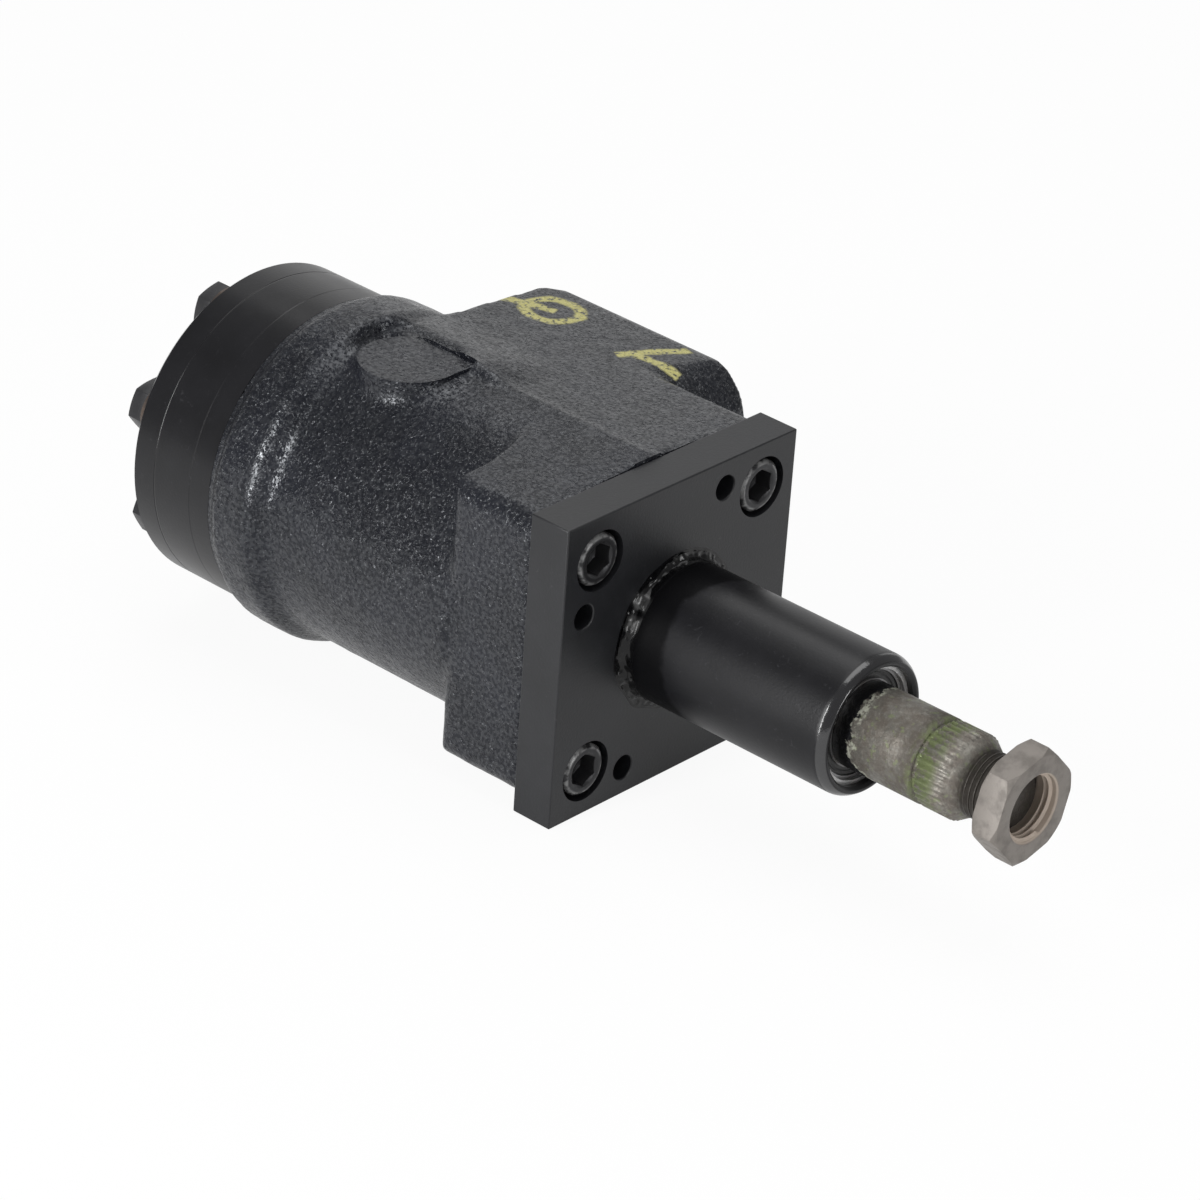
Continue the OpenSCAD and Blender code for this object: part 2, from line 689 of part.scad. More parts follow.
module valve_housing() {
    bore_r = sleeve_d / 2;
    x_seals = x_shoulder + seal_w + backup_w;
    color([0.075, 0.075, 0.08]) difference() {
        union() {
            casting_body();
            casting_flange();
            casting_neck();
            casting_block();
            casting_boss();
        }
        revolve([[0, x_hb - cut], [bore_r + 0.8, x_hb - cut], [bore_r + 0.8, x_hb], [bore_r, x_hb + 0.8],
                 [bore_r, x_shoulder], [seal_r, x_shoulder], [seal_r, x_seals], [neck_r + 0.3, x_seals],
                 [neck_r + 0.3, x_pb - dust_w], [dust_r, x_pb - dust_w], [dust_r, x_pb + cut],
                 [0, x_pb + cut]]);
        boss_flat_cut();
        gear_bolt_holes(x_hb - cut, x_hb + bolt_grip + 3, bolt_d / 2 + seat_gap);
        gear_ports(x_hb - cut, x_gear_port + gear_port_r);
        around_x(ring_n, bore_r - 1, bolt_turn + 180 / ring_n) translate([x_gear_port, 0, 0])
            rotate([-90, 0, 0]) cylinder(h = gear_port_circle_r - bore_r + 1, r = gear_port_r - 0.3);
        port_cuts();
        for (p = screw_places) translate([0, p[0], p[1]])
            bar_x(x_pb - (screw_len - plate_t + cbore_depth) - 3, x_pb + cut, screw_d / 2 + seat_gap);
    }
}

module check_ball() {
    color([0.75, 0.75, 0.76]) translate([check_x, check_y, check_z]) sphere(d = check_ball_d);
}

module check_ball_seat() {
    bore_r = check_ball_d / 2 - 1;
    color([0.6, 0.58, 0.5]) translate([check_x, check_y, check_z]) rotate([-90, 0, 0]) difference() {
        translate([0, 0, check_ball_d / 2 - 0.6]) cylinder(h = check_seat_len + 0.6, r = check_r - seat_gap);
        translate([0, 0, -cut]) cylinder(h = check_ball_d + check_seat_len, r = bore_r);
        sphere(d = check_ball_d + 0.04);
    }
}

module valve_sleeve() {
    hole_r = 1.4;
    row_n = 6;
    wall = sleeve_r - sleeve_bore_r;
    color([0.6, 0.6, 0.61]) difference() {
        ring_x(x_sleeve_rear, x_sleeve, sleeve_r, sleeve_bore_r);
        for (px = port_x, s = [-1, 1]) around_x(row_n, sleeve_bore_r - cut, 15 + 30 * s)
            translate([px + s * groove_offset, 0, 0]) rotate([-90, 0, 0])
                cylinder(h = wall + 2 * cut, r = hole_r);
        around_x(2 * star_n, sleeve_bore_r - cut, bolt_turn) translate([x_gear_port, 0, 0])
            rotate([-90, 0, 0]) cylinder(h = wall + 2 * cut, r = hole_r);
        translate([x_pin, 0, -sleeve_d]) cylinder(h = 2 * sleeve_d, r = pin_r + seat_gap);
        ring_x(x_pin - pin_groove_w / 2, x_pin + pin_groove_w / 2, sleeve_r + cut, sleeve_r - pin_groove_t);
        translate([x_spring - spring_w / 2 - 0.1, -sleeve_d, -spring_h / 2 - 0.05])
            cube([spring_w + 0.2, 2 * sleeve_d, spring_h + 0.1]);
    }
}

module valve_spool() {
    slot_w = 3;
    slot_t = 1.2;
    color([0.66, 0.66, 0.67]) difference() {
        union() {
            bar_x(x_spool_rear, x_sleeve, spool_r);
            bar_x(x_sleeve - cut, x_spool_front, neck_r);
        }
        bar_x(x_spool_rear - cut, x_web_rear, spool_bore_r);
        extrude_x(x_socket, x_spool_front + cut)
            polygon(tooth_points(shaft_spline_n, shaft_spline_r + shaft_spline_gap,
                                 shaft_spline_root + shaft_spline_gap, 0.36, 0.36));
        translate([x_pin, 0, -spool_d]) cylinder(h = 2 * spool_d, r = pin_slot_r);
        translate([x_spring - spring_w / 2 - 0.1, -spool_d, -spring_h / 2 - 0.05])
            cube([spring_w + 0.2, 2 * spool_d, spring_h + 0.1]);
        for (x0 = [port_x[1] - 8, x_pin + pin_slot_r + 3]) around_x(star_n, spool_r - slot_t, 30)
            translate([x0, 0, -slot_w / 2]) cube([8, slot_t + cut, slot_w]);
    }
}

module cross_pin() {
    ease = 0.5;
    half = sqrt(pow(sleeve_r - pin_groove_t - 0.05, 2) - pow(pin_r - ease, 2));
    color([0.7, 0.7, 0.72]) translate([x_pin, 0, 0]) rotate_extrude()
        polygon([[0, -half], [pin_r - ease, -half], [pin_r, ease - half], [pin_r, half - ease],
                 [pin_r - ease, half], [0, half]]);
}

module pin_retaining_ring() {
    color([0.45, 0.45, 0.46]) ring_x(x_pin - pin_groove_w / 2 + 0.1, x_pin + pin_groove_w / 2 - 0.1,
                                     sleeve_r - 0.1, sleeve_r - pin_groove_t + seat_gap);
}

module centering_springs() {
    pitch = leaf_t + leaf_gap;
    color([0.4, 0.42, 0.46]) for (i = [0:leaf_count - 1])
        translate([x_spring - spring_w / 2, -spring_len / 2, (leaf_gap - spring_h) / 2 + i * pitch])
            cube([spring_w, spring_len, leaf_t]);
}

module thrust_race_front() {
    color([0.72, 0.72, 0.73]) ring_x(x_race1, x_shoulder, race_out_r, race_in_r);
}

module thrust_needles() {
    color([0.78, 0.78, 0.79]) around_x(needle_count, needle_mid_r - needle_len / 2)
        translate([x_race2 + needle_d / 2, 0, 0]) rotate([-90, 0, 0])
            cylinder(h = needle_len, d = needle_d - needle_gap, $fn = 24);
}

module thrust_cage() {
    play = 0.05;
    color([0.55, 0.47, 0.28]) difference() {
        ring_x(x_race2 + 0.4, x_race1 - 0.4, race_out_r - 0.1, race_in_r + 0.1);
        around_x(needle_count, needle_mid_r - needle_len / 2 - play)
            translate([x_race2 - cut, 0, -needle_d / 2 - play])
                cube([needle_d + 2 * cut, needle_len + 2 * play, needle_d + 2 * play]);
    }
}

module thrust_race_rear() {
    color([0.72, 0.72, 0.73]) ring_x(x_race2 - race_t, x_race2, race_out_r, race_in_r);
}

module shaft_seal() {
    lip = 1.2;
    x0 = x_shoulder + 0.05;
    x1 = x_shoulder + seal_w;
    mid = (x0 + x1) / 2;
    color([0.05, 0.05, 0.05])
        revolve([[neck_r + 1.5, x0], [seal_r - seat_gap, x0], [seal_r - seat_gap, x1], [neck_r + 1.5, x1],
                 [neck_r + run_gap, mid + lip / 2], [neck_r + run_gap, mid - lip / 2]]);
}

module seal_backup_ring() {
    color([0.85, 0.84, 0.8]) ring_x(x_shoulder + seal_w + 0.05, x_shoulder + seal_w + backup_w - 0.05,
                                    seal_r - seat_gap, neck_r + run_gap);
}

module dust_seal() {
    x0 = x_pb - dust_w + 0.05;
    x1 = x_pb - 0.3;
    color([0.05, 0.05, 0.05])
        revolve([[neck_r + 2, x0], [dust_r - seat_gap, x0], [dust_r - seat_gap, x1], [neck_r + 1, x1],
                 [neck_r + run_gap, x1 - 1.2], [neck_r + run_gap, x1 - 2]]);
}

module mounting_plate() {
    color([0.085, 0.085, 0.09]) difference() {
        translate([x_pb, -plate_w / 2, -plate_w / 2]) cube([plate_t, plate_w, plate_w]);
        bar_x(x_pb - cut, cut, tube_r + seat_gap);
        for (p = screw_places) translate([0, p[0], p[1]]) {
            bar_x(x_pb - cut, cut, screw_hole_r);
            bar_x(-cbore_depth, cut, cbore_r);
        }
        around_x(4, bracket_pcd / 2, bracket_turn) bar_x(x_pb - cut, cut, bracket_hole_d / 2);
    }
}

module plate_screws() {
    x_head = screw_head_h - cbore_depth;
    x_under = -cbore_depth;
    x_tip = x_under - screw_len;
    socket_t = screw_head_h * 0.55;
    socket_r = screw_socket_af / 2 / cos(30);
    ease = 0.8;
    color([0.12, 0.12, 0.125]) for (p = screw_places) translate([0, p[0], p[1]]) difference() {
        revolve([[0, x_tip], [screw_d / 2 - 1, x_tip], [screw_d / 2, x_tip + 1], [screw_d / 2, x_under],
                 [screw_head_d / 2, x_under], [screw_head_d / 2, x_head - ease],
                 [screw_head_d / 2 - ease, x_head], [0, x_head]]);
        translate([x_head - socket_t, 0, 0]) rotate([0, 90, 0])
            cylinder(h = socket_t + cut, r = socket_r, $fn = 6);
        revolve([[0, x_head - 0.5], [screw_socket_af / 2, x_head - 0.5], [socket_r + 0.3, x_head],
                 [socket_r + 0.3, x_head + cut], [0, x_head + cut]]);
    }
}

module column_tube() {
    outer_ease = 1.4;
    inner_ease = 0.7;
    groove_x = x_brg_front + snap_gap;
    color([0.08, 0.08, 0.085]) revolve([[tube_bore_d / 2, -tube_seat], [tube_r, -tube_seat],
        [tube_r, tube_len - outer_ease], [tube_r - outer_ease, tube_len],
        [mouth_r + inner_ease, tube_len], [mouth_r, tube_len - inner_ease],
        [mouth_r, groove_x + snap_t + snap_gap], [mouth_r + snap_groove, groove_x + snap_t + snap_gap],
        [mouth_r + snap_groove, groove_x - snap_gap], [mouth_r, groove_x - snap_gap],
        [mouth_r, x_brg_rear], [tube_bore_d / 2, x_brg_rear]]);
}

module weld_bead() {
    color([0.03, 0.03, 0.03]) revolve(concat([[tube_r + seat_gap, 0.01]],
        [for (i = [0:6]) let (a = 15 * i, bulge = 1 + 0.12 * sin(2 * a))
            [tube_r + seat_gap + weld_leg * cos(a) * bulge / (cos(a) + sin(a)),
             0.01 + weld_leg * sin(a) * bulge / (cos(a) + sin(a))]]));
}

module race_track(x) {
    rotate([0, 90, 0]) translate([0, 0, x]) rotate_extrude() translate([ball_pitch_r, 0])
        circle(d = ball_d + 2 * ball_gap, $fn = 48);
}

module bearing_outer_ring() {
    ease = 0.4;
    ro = bearing_od / 2;
    color([0.2, 0.2, 0.21]) difference() {
        revolve([[land_out_r, x_brg_rear], [ro - ease, x_brg_rear], [ro, x_brg_rear + ease],
                 [ro, x_brg_front - ease], [ro - ease, x_brg_front], [land_out_r, x_brg_front]]);
        race_track((x_brg_front + x_brg_rear) / 2);
    }
}

module bearing_inner_ring() {
    color([0.2, 0.2, 0.21]) difference() {
        ring_x(x_brg_rear, x_brg_front, land_in_r, bearing_id / 2);
        race_track((x_brg_front + x_brg_rear) / 2);
    }
}

module bearing_balls() {
    color([0.8, 0.8, 0.82]) around_x(ball_count, ball_pitch_r)
        translate([(x_brg_front + x_brg_rear) / 2, 0, 0]) sphere(d = ball_d, $fn = 48);
}

module bearing_cage() {
    mid = (x_brg_front + x_brg_rear) / 2;
    half = ball_d / 2 + 0.6;
    color([0.6, 0.5, 0.3]) difference() {
        ring_x(mid - half, mid + half, land_out_r - 0.2, land_in_r + 0.2);
        around_x(ball_count, land_in_r - cut) translate([mid, 0, 0]) rotate([-90, 0, 0])
            cylinder(h = land_out_r - land_in_r + 2 * cut, d = ball_d + 0.2);
    }
}

module bearing_shields() {
    color([0.04, 0.04, 0.04]) for (x = [x_brg_rear + shield_inset, x_brg_front - shield_inset - shield_t])
        ring_x(x, x + shield_t, land_out_r - seat_gap, land_in_r + run_gap);
}

module bearing_snap_ring() {
    x0 = x_brg_front + snap_gap;
    x1 = x0 + snap_t;
    in_r = mouth_r - 1.1;
    ear_r = 1.5;
    ear_mid_r = in_r - 0.4;
    ear_turn = 13;
    gap_turn = 250;
    gap_w = 4;
    color([0.16, 0.16, 0.17]) difference() {
        union() {
            ring_x(x0, x1, mouth_r + snap_groove - 0.1, in_r);
            for (s = [-1, 1]) rotate([gap_turn + s * ear_turn, 0, 0]) translate([0, ear_mid_r, 0])
                bar_x(x0, x1, ear_r);
        }
        for (s = [-1, 1]) rotate([gap_turn + s * ear_turn, 0, 0]) translate([0, ear_mid_r, 0])
            bar_x(x0 - cut, x1 + cut, ear_r / 2);
        rotate([gap_turn, 0, 0]) translate([x0 - cut, in_r - 3 * ear_r, -gap_w / 2])
            cube([snap_t + 2 * cut, 6 * ear_r, gap_w]);
    }
}

module serration_outline() {
    polygon(tooth_points(serration_count, shaft_r - 0.05, shaft_r - serration_depth, 0.2, 0.3));
}

module steering_shaft() {
    x_spline0 = x_spool_front - shaft_spline_len;
    x_shank = x_spool_front + 0.5;
    x_teeth = serration_x - 2;
    x_fade = x_serration_end + 0.6;
    groove_x1 = serration_groove_x + serration_groove_w;
    shank_r = shank_d / 2;
    thread_r = thread_d / 2;
    root_r = shaft_r - serration_depth - 0.1;
    groove_r = shaft_r - 1.1;
    color([0.36, 0.36, 0.33]) {
        extrude_x(x_spline0, x_shank)
            polygon(tooth_points(shaft_spline_n, shaft_spline_r, shaft_spline_root, 0.3, 0.42));
        revolve([[0, x_shank], [shank_r - 0.6, x_shank], [shank_r, x_shank + 0.6], [shank_r, x_brg_rear - 6],
                 [shaft_seat_r, x_brg_rear - 5], [shaft_seat_r, x_brg_front + 0.05],
                 [shaft_r - 0.4, x_brg_front + 0.05], [shaft_r, x_brg_front + 0.45],
                 [shaft_r, serration_x - 1.2], [root_r, serration_x], [root_r, serration_groove_x],
                 [groove_r, serration_groove_x], [groove_r, groove_x1], [root_r, groove_x1],
                 [root_r, x_serration_end], [thread_r + 0.3, x_thread], [thread_r, x_thread],
                 [thread_r, x_shaft_end - 1], [thread_r - 1, x_shaft_end], [0, x_shaft_end]]);
        intersection() {
            union() {
                extrude_x(x_teeth, serration_groove_x) serration_outline();
                extrude_x(groove_x1, x_fade) serration_outline();
            }
            revolve([[0, x_teeth], [shaft_r + 0.1, x_teeth], [shaft_r + 0.1, x_serration_end - 1],
                     [root_r - 0.6, x_fade], [0, x_fade]]);
        }
    }
}

module wheel_nut() {
    csk = 0.5;
    bore_r = thread_d / 2 + seat_gap;
    color([0.42, 0.41, 0.39]) difference() {
        hex_x(x_nut_rear, x_nut_front, nut_af, nut_turn);
        bar_x(x_nut_rear - cut, x_nut_front + cut, bore_r);
        revolve([[0, x_nut_front - csk], [bore_r, x_nut_front - csk], [bore_r + csk, x_nut_front],
                 [bore_r + csk, x_nut_front + cut], [0, x_nut_front + cut]]);
    }
}

end_cap();
end_cap_bolts();
bolt_washers();
end_cap_oring();
gerotor_ring();
gerotor_star();
gear_ring_oring();
spacer_plate();
housing_oring();
drive_spacer();
drive_shaft();
valve_housing();
check_ball();
check_ball_seat();
valve_sleeve();
valve_spool();
cross_pin();
pin_retaining_ring();
centering_springs();
thrust_race_front();
thrust_needles();
thrust_cage();
thrust_race_rear();
shaft_seal();
seal_backup_ring();
dust_seal();
mounting_plate();
plate_screws();
column_tube();
weld_bead();
bearing_outer_ring();
bearing_inner_ring();
bearing_balls();
bearing_cage();
bearing_shields();
bearing_snap_ring();
steering_shaft();
wheel_nut();
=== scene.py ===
"""Looks of a hydraulic steering unit with a welded column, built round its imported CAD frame."""

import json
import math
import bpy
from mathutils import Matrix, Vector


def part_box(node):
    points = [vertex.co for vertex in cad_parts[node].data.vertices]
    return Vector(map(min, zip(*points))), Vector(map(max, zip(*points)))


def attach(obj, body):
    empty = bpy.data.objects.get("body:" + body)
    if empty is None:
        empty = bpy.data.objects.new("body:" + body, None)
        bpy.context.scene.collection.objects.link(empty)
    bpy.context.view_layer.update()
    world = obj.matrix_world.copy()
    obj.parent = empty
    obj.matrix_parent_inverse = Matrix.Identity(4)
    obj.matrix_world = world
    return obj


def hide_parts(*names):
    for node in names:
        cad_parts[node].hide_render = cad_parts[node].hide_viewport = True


bl_info = {
    "name": "Steering Unit Looks",
    "version": (1, 0, 0),
    "blender": (4, 5, 0),
    "location": "View3D > Sidebar > Steering Unit",
    "description": "Dresses the packed steering unit with cast, painted and bare steel finishes",
    "category": "Object",
}

import bmesh
import bpy
from mathutils import Matrix, Vector, noise

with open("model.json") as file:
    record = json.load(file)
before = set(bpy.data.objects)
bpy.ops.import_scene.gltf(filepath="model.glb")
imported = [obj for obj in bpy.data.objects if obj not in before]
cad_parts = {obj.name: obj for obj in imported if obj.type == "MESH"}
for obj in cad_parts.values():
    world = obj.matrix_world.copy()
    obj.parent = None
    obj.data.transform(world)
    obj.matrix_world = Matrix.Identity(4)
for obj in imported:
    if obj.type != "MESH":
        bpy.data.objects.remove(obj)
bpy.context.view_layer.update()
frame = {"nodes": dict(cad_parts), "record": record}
NODES = frame["nodes"]
HOUSING, SPOOL = "housing", "spool"
MM = 0.001


def edge(node, side, axis=0):
    """One face of a CAD node's box, in millimetres."""
    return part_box(node)[side][axis] / MM


# Places and sizes from the frame, in millimetres
CAST_REAR = edge("valve_housing", 0)
PORT_FACE = edge("valve_housing", 1, 1)
PLATE_REAR = edge("mounting_plate", 0)
GEAR_R = edge("spacer_plate", 1, 2)
CAP_FRONT = edge("end_cap", 1)
TUBE_REAR, TUBE_END = edge("column_tube", 0), edge("column_tube", 1)
TUBE_R = edge("column_tube", 1, 2)
WELD_R = edge("weld_bead", 1, 2)
BEARING_REAR, BEARING_FRONT = edge("bearing_outer_ring", 0), edge("bearing_outer_ring", 1)
SNAP_REAR, SNAP_FRONT = edge("bearing_snap_ring", 0), edge("bearing_snap_ring", 1)
NUT_REAR, NUT_FRONT = edge("wheel_nut", 0), edge("wheel_nut", 1)
PORTS = [
    (m["pos_m"][0] / MM, m["pos_m"][1] / MM - m["dims"]["length_mm"] / 2, m["pos_m"][2] / MM)
    for m in frame["record"]["mounts"] if m["kind"] == "threaded_hole"
]

# Casting, in millimetres, and the fewest faces that its skin may have
BORE_PLUG_R = 21.6
REAR_BAND, REAR_BAND_DEPTH = 0.9, 0.7
PLATE_BAND, PORT_BAND = 0.7, 1.2
CROWN_Z = 36.0
SEAM_Y, SEAM_HEIGHT, SEAM_WIDTH = 1.7, 0.32, 1.3
SEAM_START, SEAM_FULL = -74.0, -70.0
FEWEST_SKIN_FACES = 20000

# Half-round boss on the casting and the swell beside it, in millimetres
BOSS_X, BOSS_Y, BOSS_R, BOSS_TOP, BOSS_CUT_Y = -87.9, -8.9, 13.3, 45.0, 2.6
BOSS_ROOT, BOSS_PAD, ABOVE_BOSS = 16, 8, 8
FOOT_Z, FOOT_WIDTH = 30.0, 6.0
SWELL_HEIGHT, SWELL_EDGE = 2.1, 4.0
SWELL_FRONT, SWELL_REAR, SWELL_SIDE = (-60, -75), (-110, -101), (26, 5)

# How often the boss's foot is smoothed
BOSS_EASING = 40

# Ports, in millimetres
PORT_R = 8.7
PORT_DRILL_R = PORT_R + 1.5
SPOT_R, SPOT_SINK, SPOT_DEPTH = 15.0, 0.5, 1.4
PAST_PORT = 2

# Plate, its screws and bracket holes, in millimetres, and the faces of the plate that stay smooth, in
# square millimetres
SCREW_PITCH = 30.1
BRACKET_R, BRACKET_RIM, BRACKET_REACH = 38.1, 3.6, 21.0
BRACKET_EDGE = 0.5
SMALL_PLATE_FACE = 20.0

# Column tube, its worn mouth and its bearing, in millimetres and degrees
TUBE_BORE_R, MOUTH_R, SNAP_GROOVE = 13.5, 16.02, 0.9
MOUTH_ROUNDING, MOUTH_CHAMFER = 1.5, 0.7
WORN_FROM, WORN_TO, WORN_IN, WORN_OUT = 2.6, 2.2, 1.6, 1.3
SHIELD_BORE_R, SHIELD_R = 11.89, 14.1
SNAP_TURN = -106.0

# Weld: its share of the solid's leg, its hollow in millimetres, and its lumps by angle and height
WELD_SHARE, WELD_SAG = 0.6, 0.9
WELD_LUMPS = [(138, 2.4), (154, 1.7), (86, 1.2), (196, 1.0)]
LUMP_X, LUMP_OUT, LUMP_SPREAD, SHINE_OUT = 2.5, 2.5, 2.2, 2.0
SHINE_REACH = (3.6, 2.2)
DIAGONAL = 0.707

# Painted shade round the tube's root, a darker, duller band standing in for the weld's shadow and dark
# reflection: its ragged end and how it leans, in millimetres
ROOT_SHADE = (12.5, 10.5)
ROOT_LEAN_Y, ROOT_LEAN_Z, ROOT_LEAN, ROOT_RAGGED = 0.58, 0.81, 6.0, 8.0

# Shaft and nut, in millimetres and degrees, with the shaft's smooth stretch
SHAFT_R, SMOOTH_FROM, SMOOTH_TO = 11.5, 78.0, 86.92
SPLINE_DEPTH = 0.8
THREAD_START, THREAD_END, THREAD_R, THREAD_DEPTH = 100.5, 111.5, 8.9, 0.85
NUT_TURN = 26.0
NUT_TRIM = 1.2

# Widths of eased edges, in millimetres
SCREW_EDGE, SNAP_EDGE, NUT_EDGE, CAP_EDGE, BOLT_EDGE = 0.22, 0.12, 0.25, 0.2, 0.2

# Paint marks on the casting, in millimetres and radians: a ring by x, y, radius and width, and bars by
# x, y, angle, length and width
RING_MARK = (-90.5, 50.5, 7.5, 3.4)
BAR_MARKS = [
    (-98.5, 47.5, 0.35, 19.0, 3.4),
    (-56.5, 52.5, 1.15, 21.0, 3.4),
    (-52.5, 48.0, 0.15, 16.5, 3.2),
]
MARKS_FROM, MARKS_TO = 36.5, 37.2

# Where the shaft's finish changes along it, in millimetres, and how high the smear and the paint reach
PAINT_END, PAINT_RAGGED, PAINT_LOWER = 67.5, 7.0, -3.0
RUSTY = (69.0, 72.0, 85.0, 88.0)
DARK_COLLAR = (88.0, 84.0)
SMEARED = (84.5, 88.0, 91.5, 95.5)
SMEAR_LOW, SMEAR_HIGH = -9.0, -2.0
DARK_THREAD = (100.3, 101.2)

# Colours of wear and dirt, and of painted light: painted sparkle among the casting's specks, painted
# shade at the tube's root and a painted highlight on the screw rims; the shaft's thread is coloured
# darker
# Light specks on the casting: partly dust, partly painted sparkle standing in for glints
CAST_DUST_AND_SPARKLE = (0.05, 0.053, 0.06)
SATIN_SCUFF, TUBE_SCUFF = (0.06, 0.06, 0.065), (0.05, 0.05, 0.055)
# Very dark colour: painted shade at the tube's root, and the weld's black paint darkened further as
# partly painted shade
THICK_PAINT_AND_SHADE = (0.003, 0.003, 0.0035)
# Screw colours: their own dark colour, and a painted highlight for the rims of their heads
SCREW_DARK, SCREW_RIM_HIGHLIGHT = (0.03, 0.03, 0.032), (0.22, 0.22, 0.22)
RUST, GREEN_SMEAR = (0.085, 0.068, 0.053), (0.175, 0.225, 0.08)
# The shaft's threaded end is coloured darker; pale chips lie at the paint's edge on the shaft
THREAD_DARK_TONE, PAINT_CHIPS = (0.035, 0.03, 0.026), (0.46, 0.47, 0.39)
NUT_THREAD = (0.42, 0.35, 0.29)

# Floor on which the unit rests: its slope, its depth and gap in millimetres, and half its width in metres
REST_SLOPE, REST_DROP, FLOOR_GAP, FLOOR_HALF = 0.041475, 42.5, 0.15, 6.0

# How bright floor and world are to the camera, in gloss and as light
FLOOR_SEEN, FLOOR_GLOSS = 0.93, 0.45
WORLD_LEVEL, WORLD_GLOSS, WORLD_SEEN = 0.3, 0.31, 1.0

# Lamps: name, place, width, height and watts, all aimed at one place, in metres
LAMP_TARGET = (-0.04, 0.0, 0.0)
LAMPS = [
    ("top_softbox", (-0.05, 0.12, 0.95), 0.8, 0.8, 4.1),
    ("rear_softbox", (-0.8, 0.9, 0.38), 1.4, 0.7, 1.9),
    ("high_softbox", (-0.62, 0.45, 1.0), 0.45, 0.45, 1.2),
    ("left_strip", (-0.16, -1.15, 0.3), 0.24, 0.95, 15.5),
    ("right_strip", (1.1, -0.1, 0.3), 0.12, 0.6, 3.6),
]

# Camera, in metres, with its lens and sensor in millimetres
CAMERA_PLACE = (0.75518, -0.90244, 0.65211)
CAMERA_FORWARD = (-0.573473, 0.663159, -0.480988)
CAMERA_UP = (-0.367741, 0.316263, 0.874497)
LENS, SENSOR = 159.995, 36.0
NEAREST, FARTHEST = 0.01, 50.0


# Sizes and colours that a user may change


def length(name, description, default, **limits):
    """A length property, in metres."""
    return bpy.props.FloatProperty(
        name=name, description=description, default=default, unit="LENGTH", **limits
    )


def colour(name, description, default):
    """A colour property."""
    return bpy.props.FloatVectorProperty(
        name=name, description=description, default=default, subtype="COLOR"
    )


class UnitSizes(bpy.types.PropertyGroup):
    """Sizes of the dressed pieces"""

    cast_grain: length("Cast grain", "Mesh size of the casting's skin", 0.00092, min=0.0006)
    cast_smoothing: bpy.props.IntProperty(
        name="Cast smoothing", description="Times that the casting's edges are eased",
        default=4, min=0, max=12,
    )
    cast_wave: length("Cast wave", "Height of the casting's unevenness", 0.00012)
    plate_edge: length("Plate edge", "Width of the eased plate edges", 0.0004)
    thread_pitch: length("Thread pitch", "Pitch of the shaft's thread", 0.0015)
    port_pitch: length("Port thread pitch", "Pitch of the port threads", 0.0015)


class UnitColours(bpy.types.PropertyGroup):
    """Colours of the finishes"""

    cast_paint: colour("Casting paint", "Black paint on the casting", (0.0078, 0.0085, 0.0118))
    satin_paint: colour("Satin paint", "Black paint on turned parts", (0.0055, 0.0055, 0.0068))
    plate_paint: colour("Plate paint", "Black paint on the plate", (0.0105, 0.011, 0.0128))
    mark_paint: colour("Paint marks", "Yellow paint pen on the port block", (0.47, 0.44, 0.17))
    bare_steel: colour("Bare steel", "Dulled steel of the shaft", (0.185, 0.175, 0.153))
    nut_steel: colour("Nut steel", "Steel of the wheel nut", (0.2, 0.181, 0.163))


# Materials


class Nodes:
    """A node tree, with small helpers for its nodes."""

    def __init__(self, tree):
        self.tree = tree

    def node(self, kind, inputs=None, **settings):
        """A new node with its settings, and values or sockets for its inputs."""
        made = self.tree.nodes.new(kind)
        for key, value in settings.items():
            setattr(made, key, value)
        for key, value in (inputs or {}).items():
            self.link(value, made.inputs[key])
        return made

    def link(self, value, socket):
        if isinstance(value, bpy.types.NodeSocket):
            self.tree.links.new(value, socket)
        else:
            socket.default_value = value

    def math(self, operation, a, b=0.0, c=0.0):
        return self.node("ShaderNodeMath", {0: a, 1: b, 2: c}, operation=operation).outputs[0]

    def plus(self, a, b):
        return self.math("ADD", a, b)

    def minus(self, a, b):
        return self.math("SUBTRACT", a, b)

    def times(self, value, *factors):
        for factor in factors:
            value = self.math("MULTIPLY", value, factor)
        return value


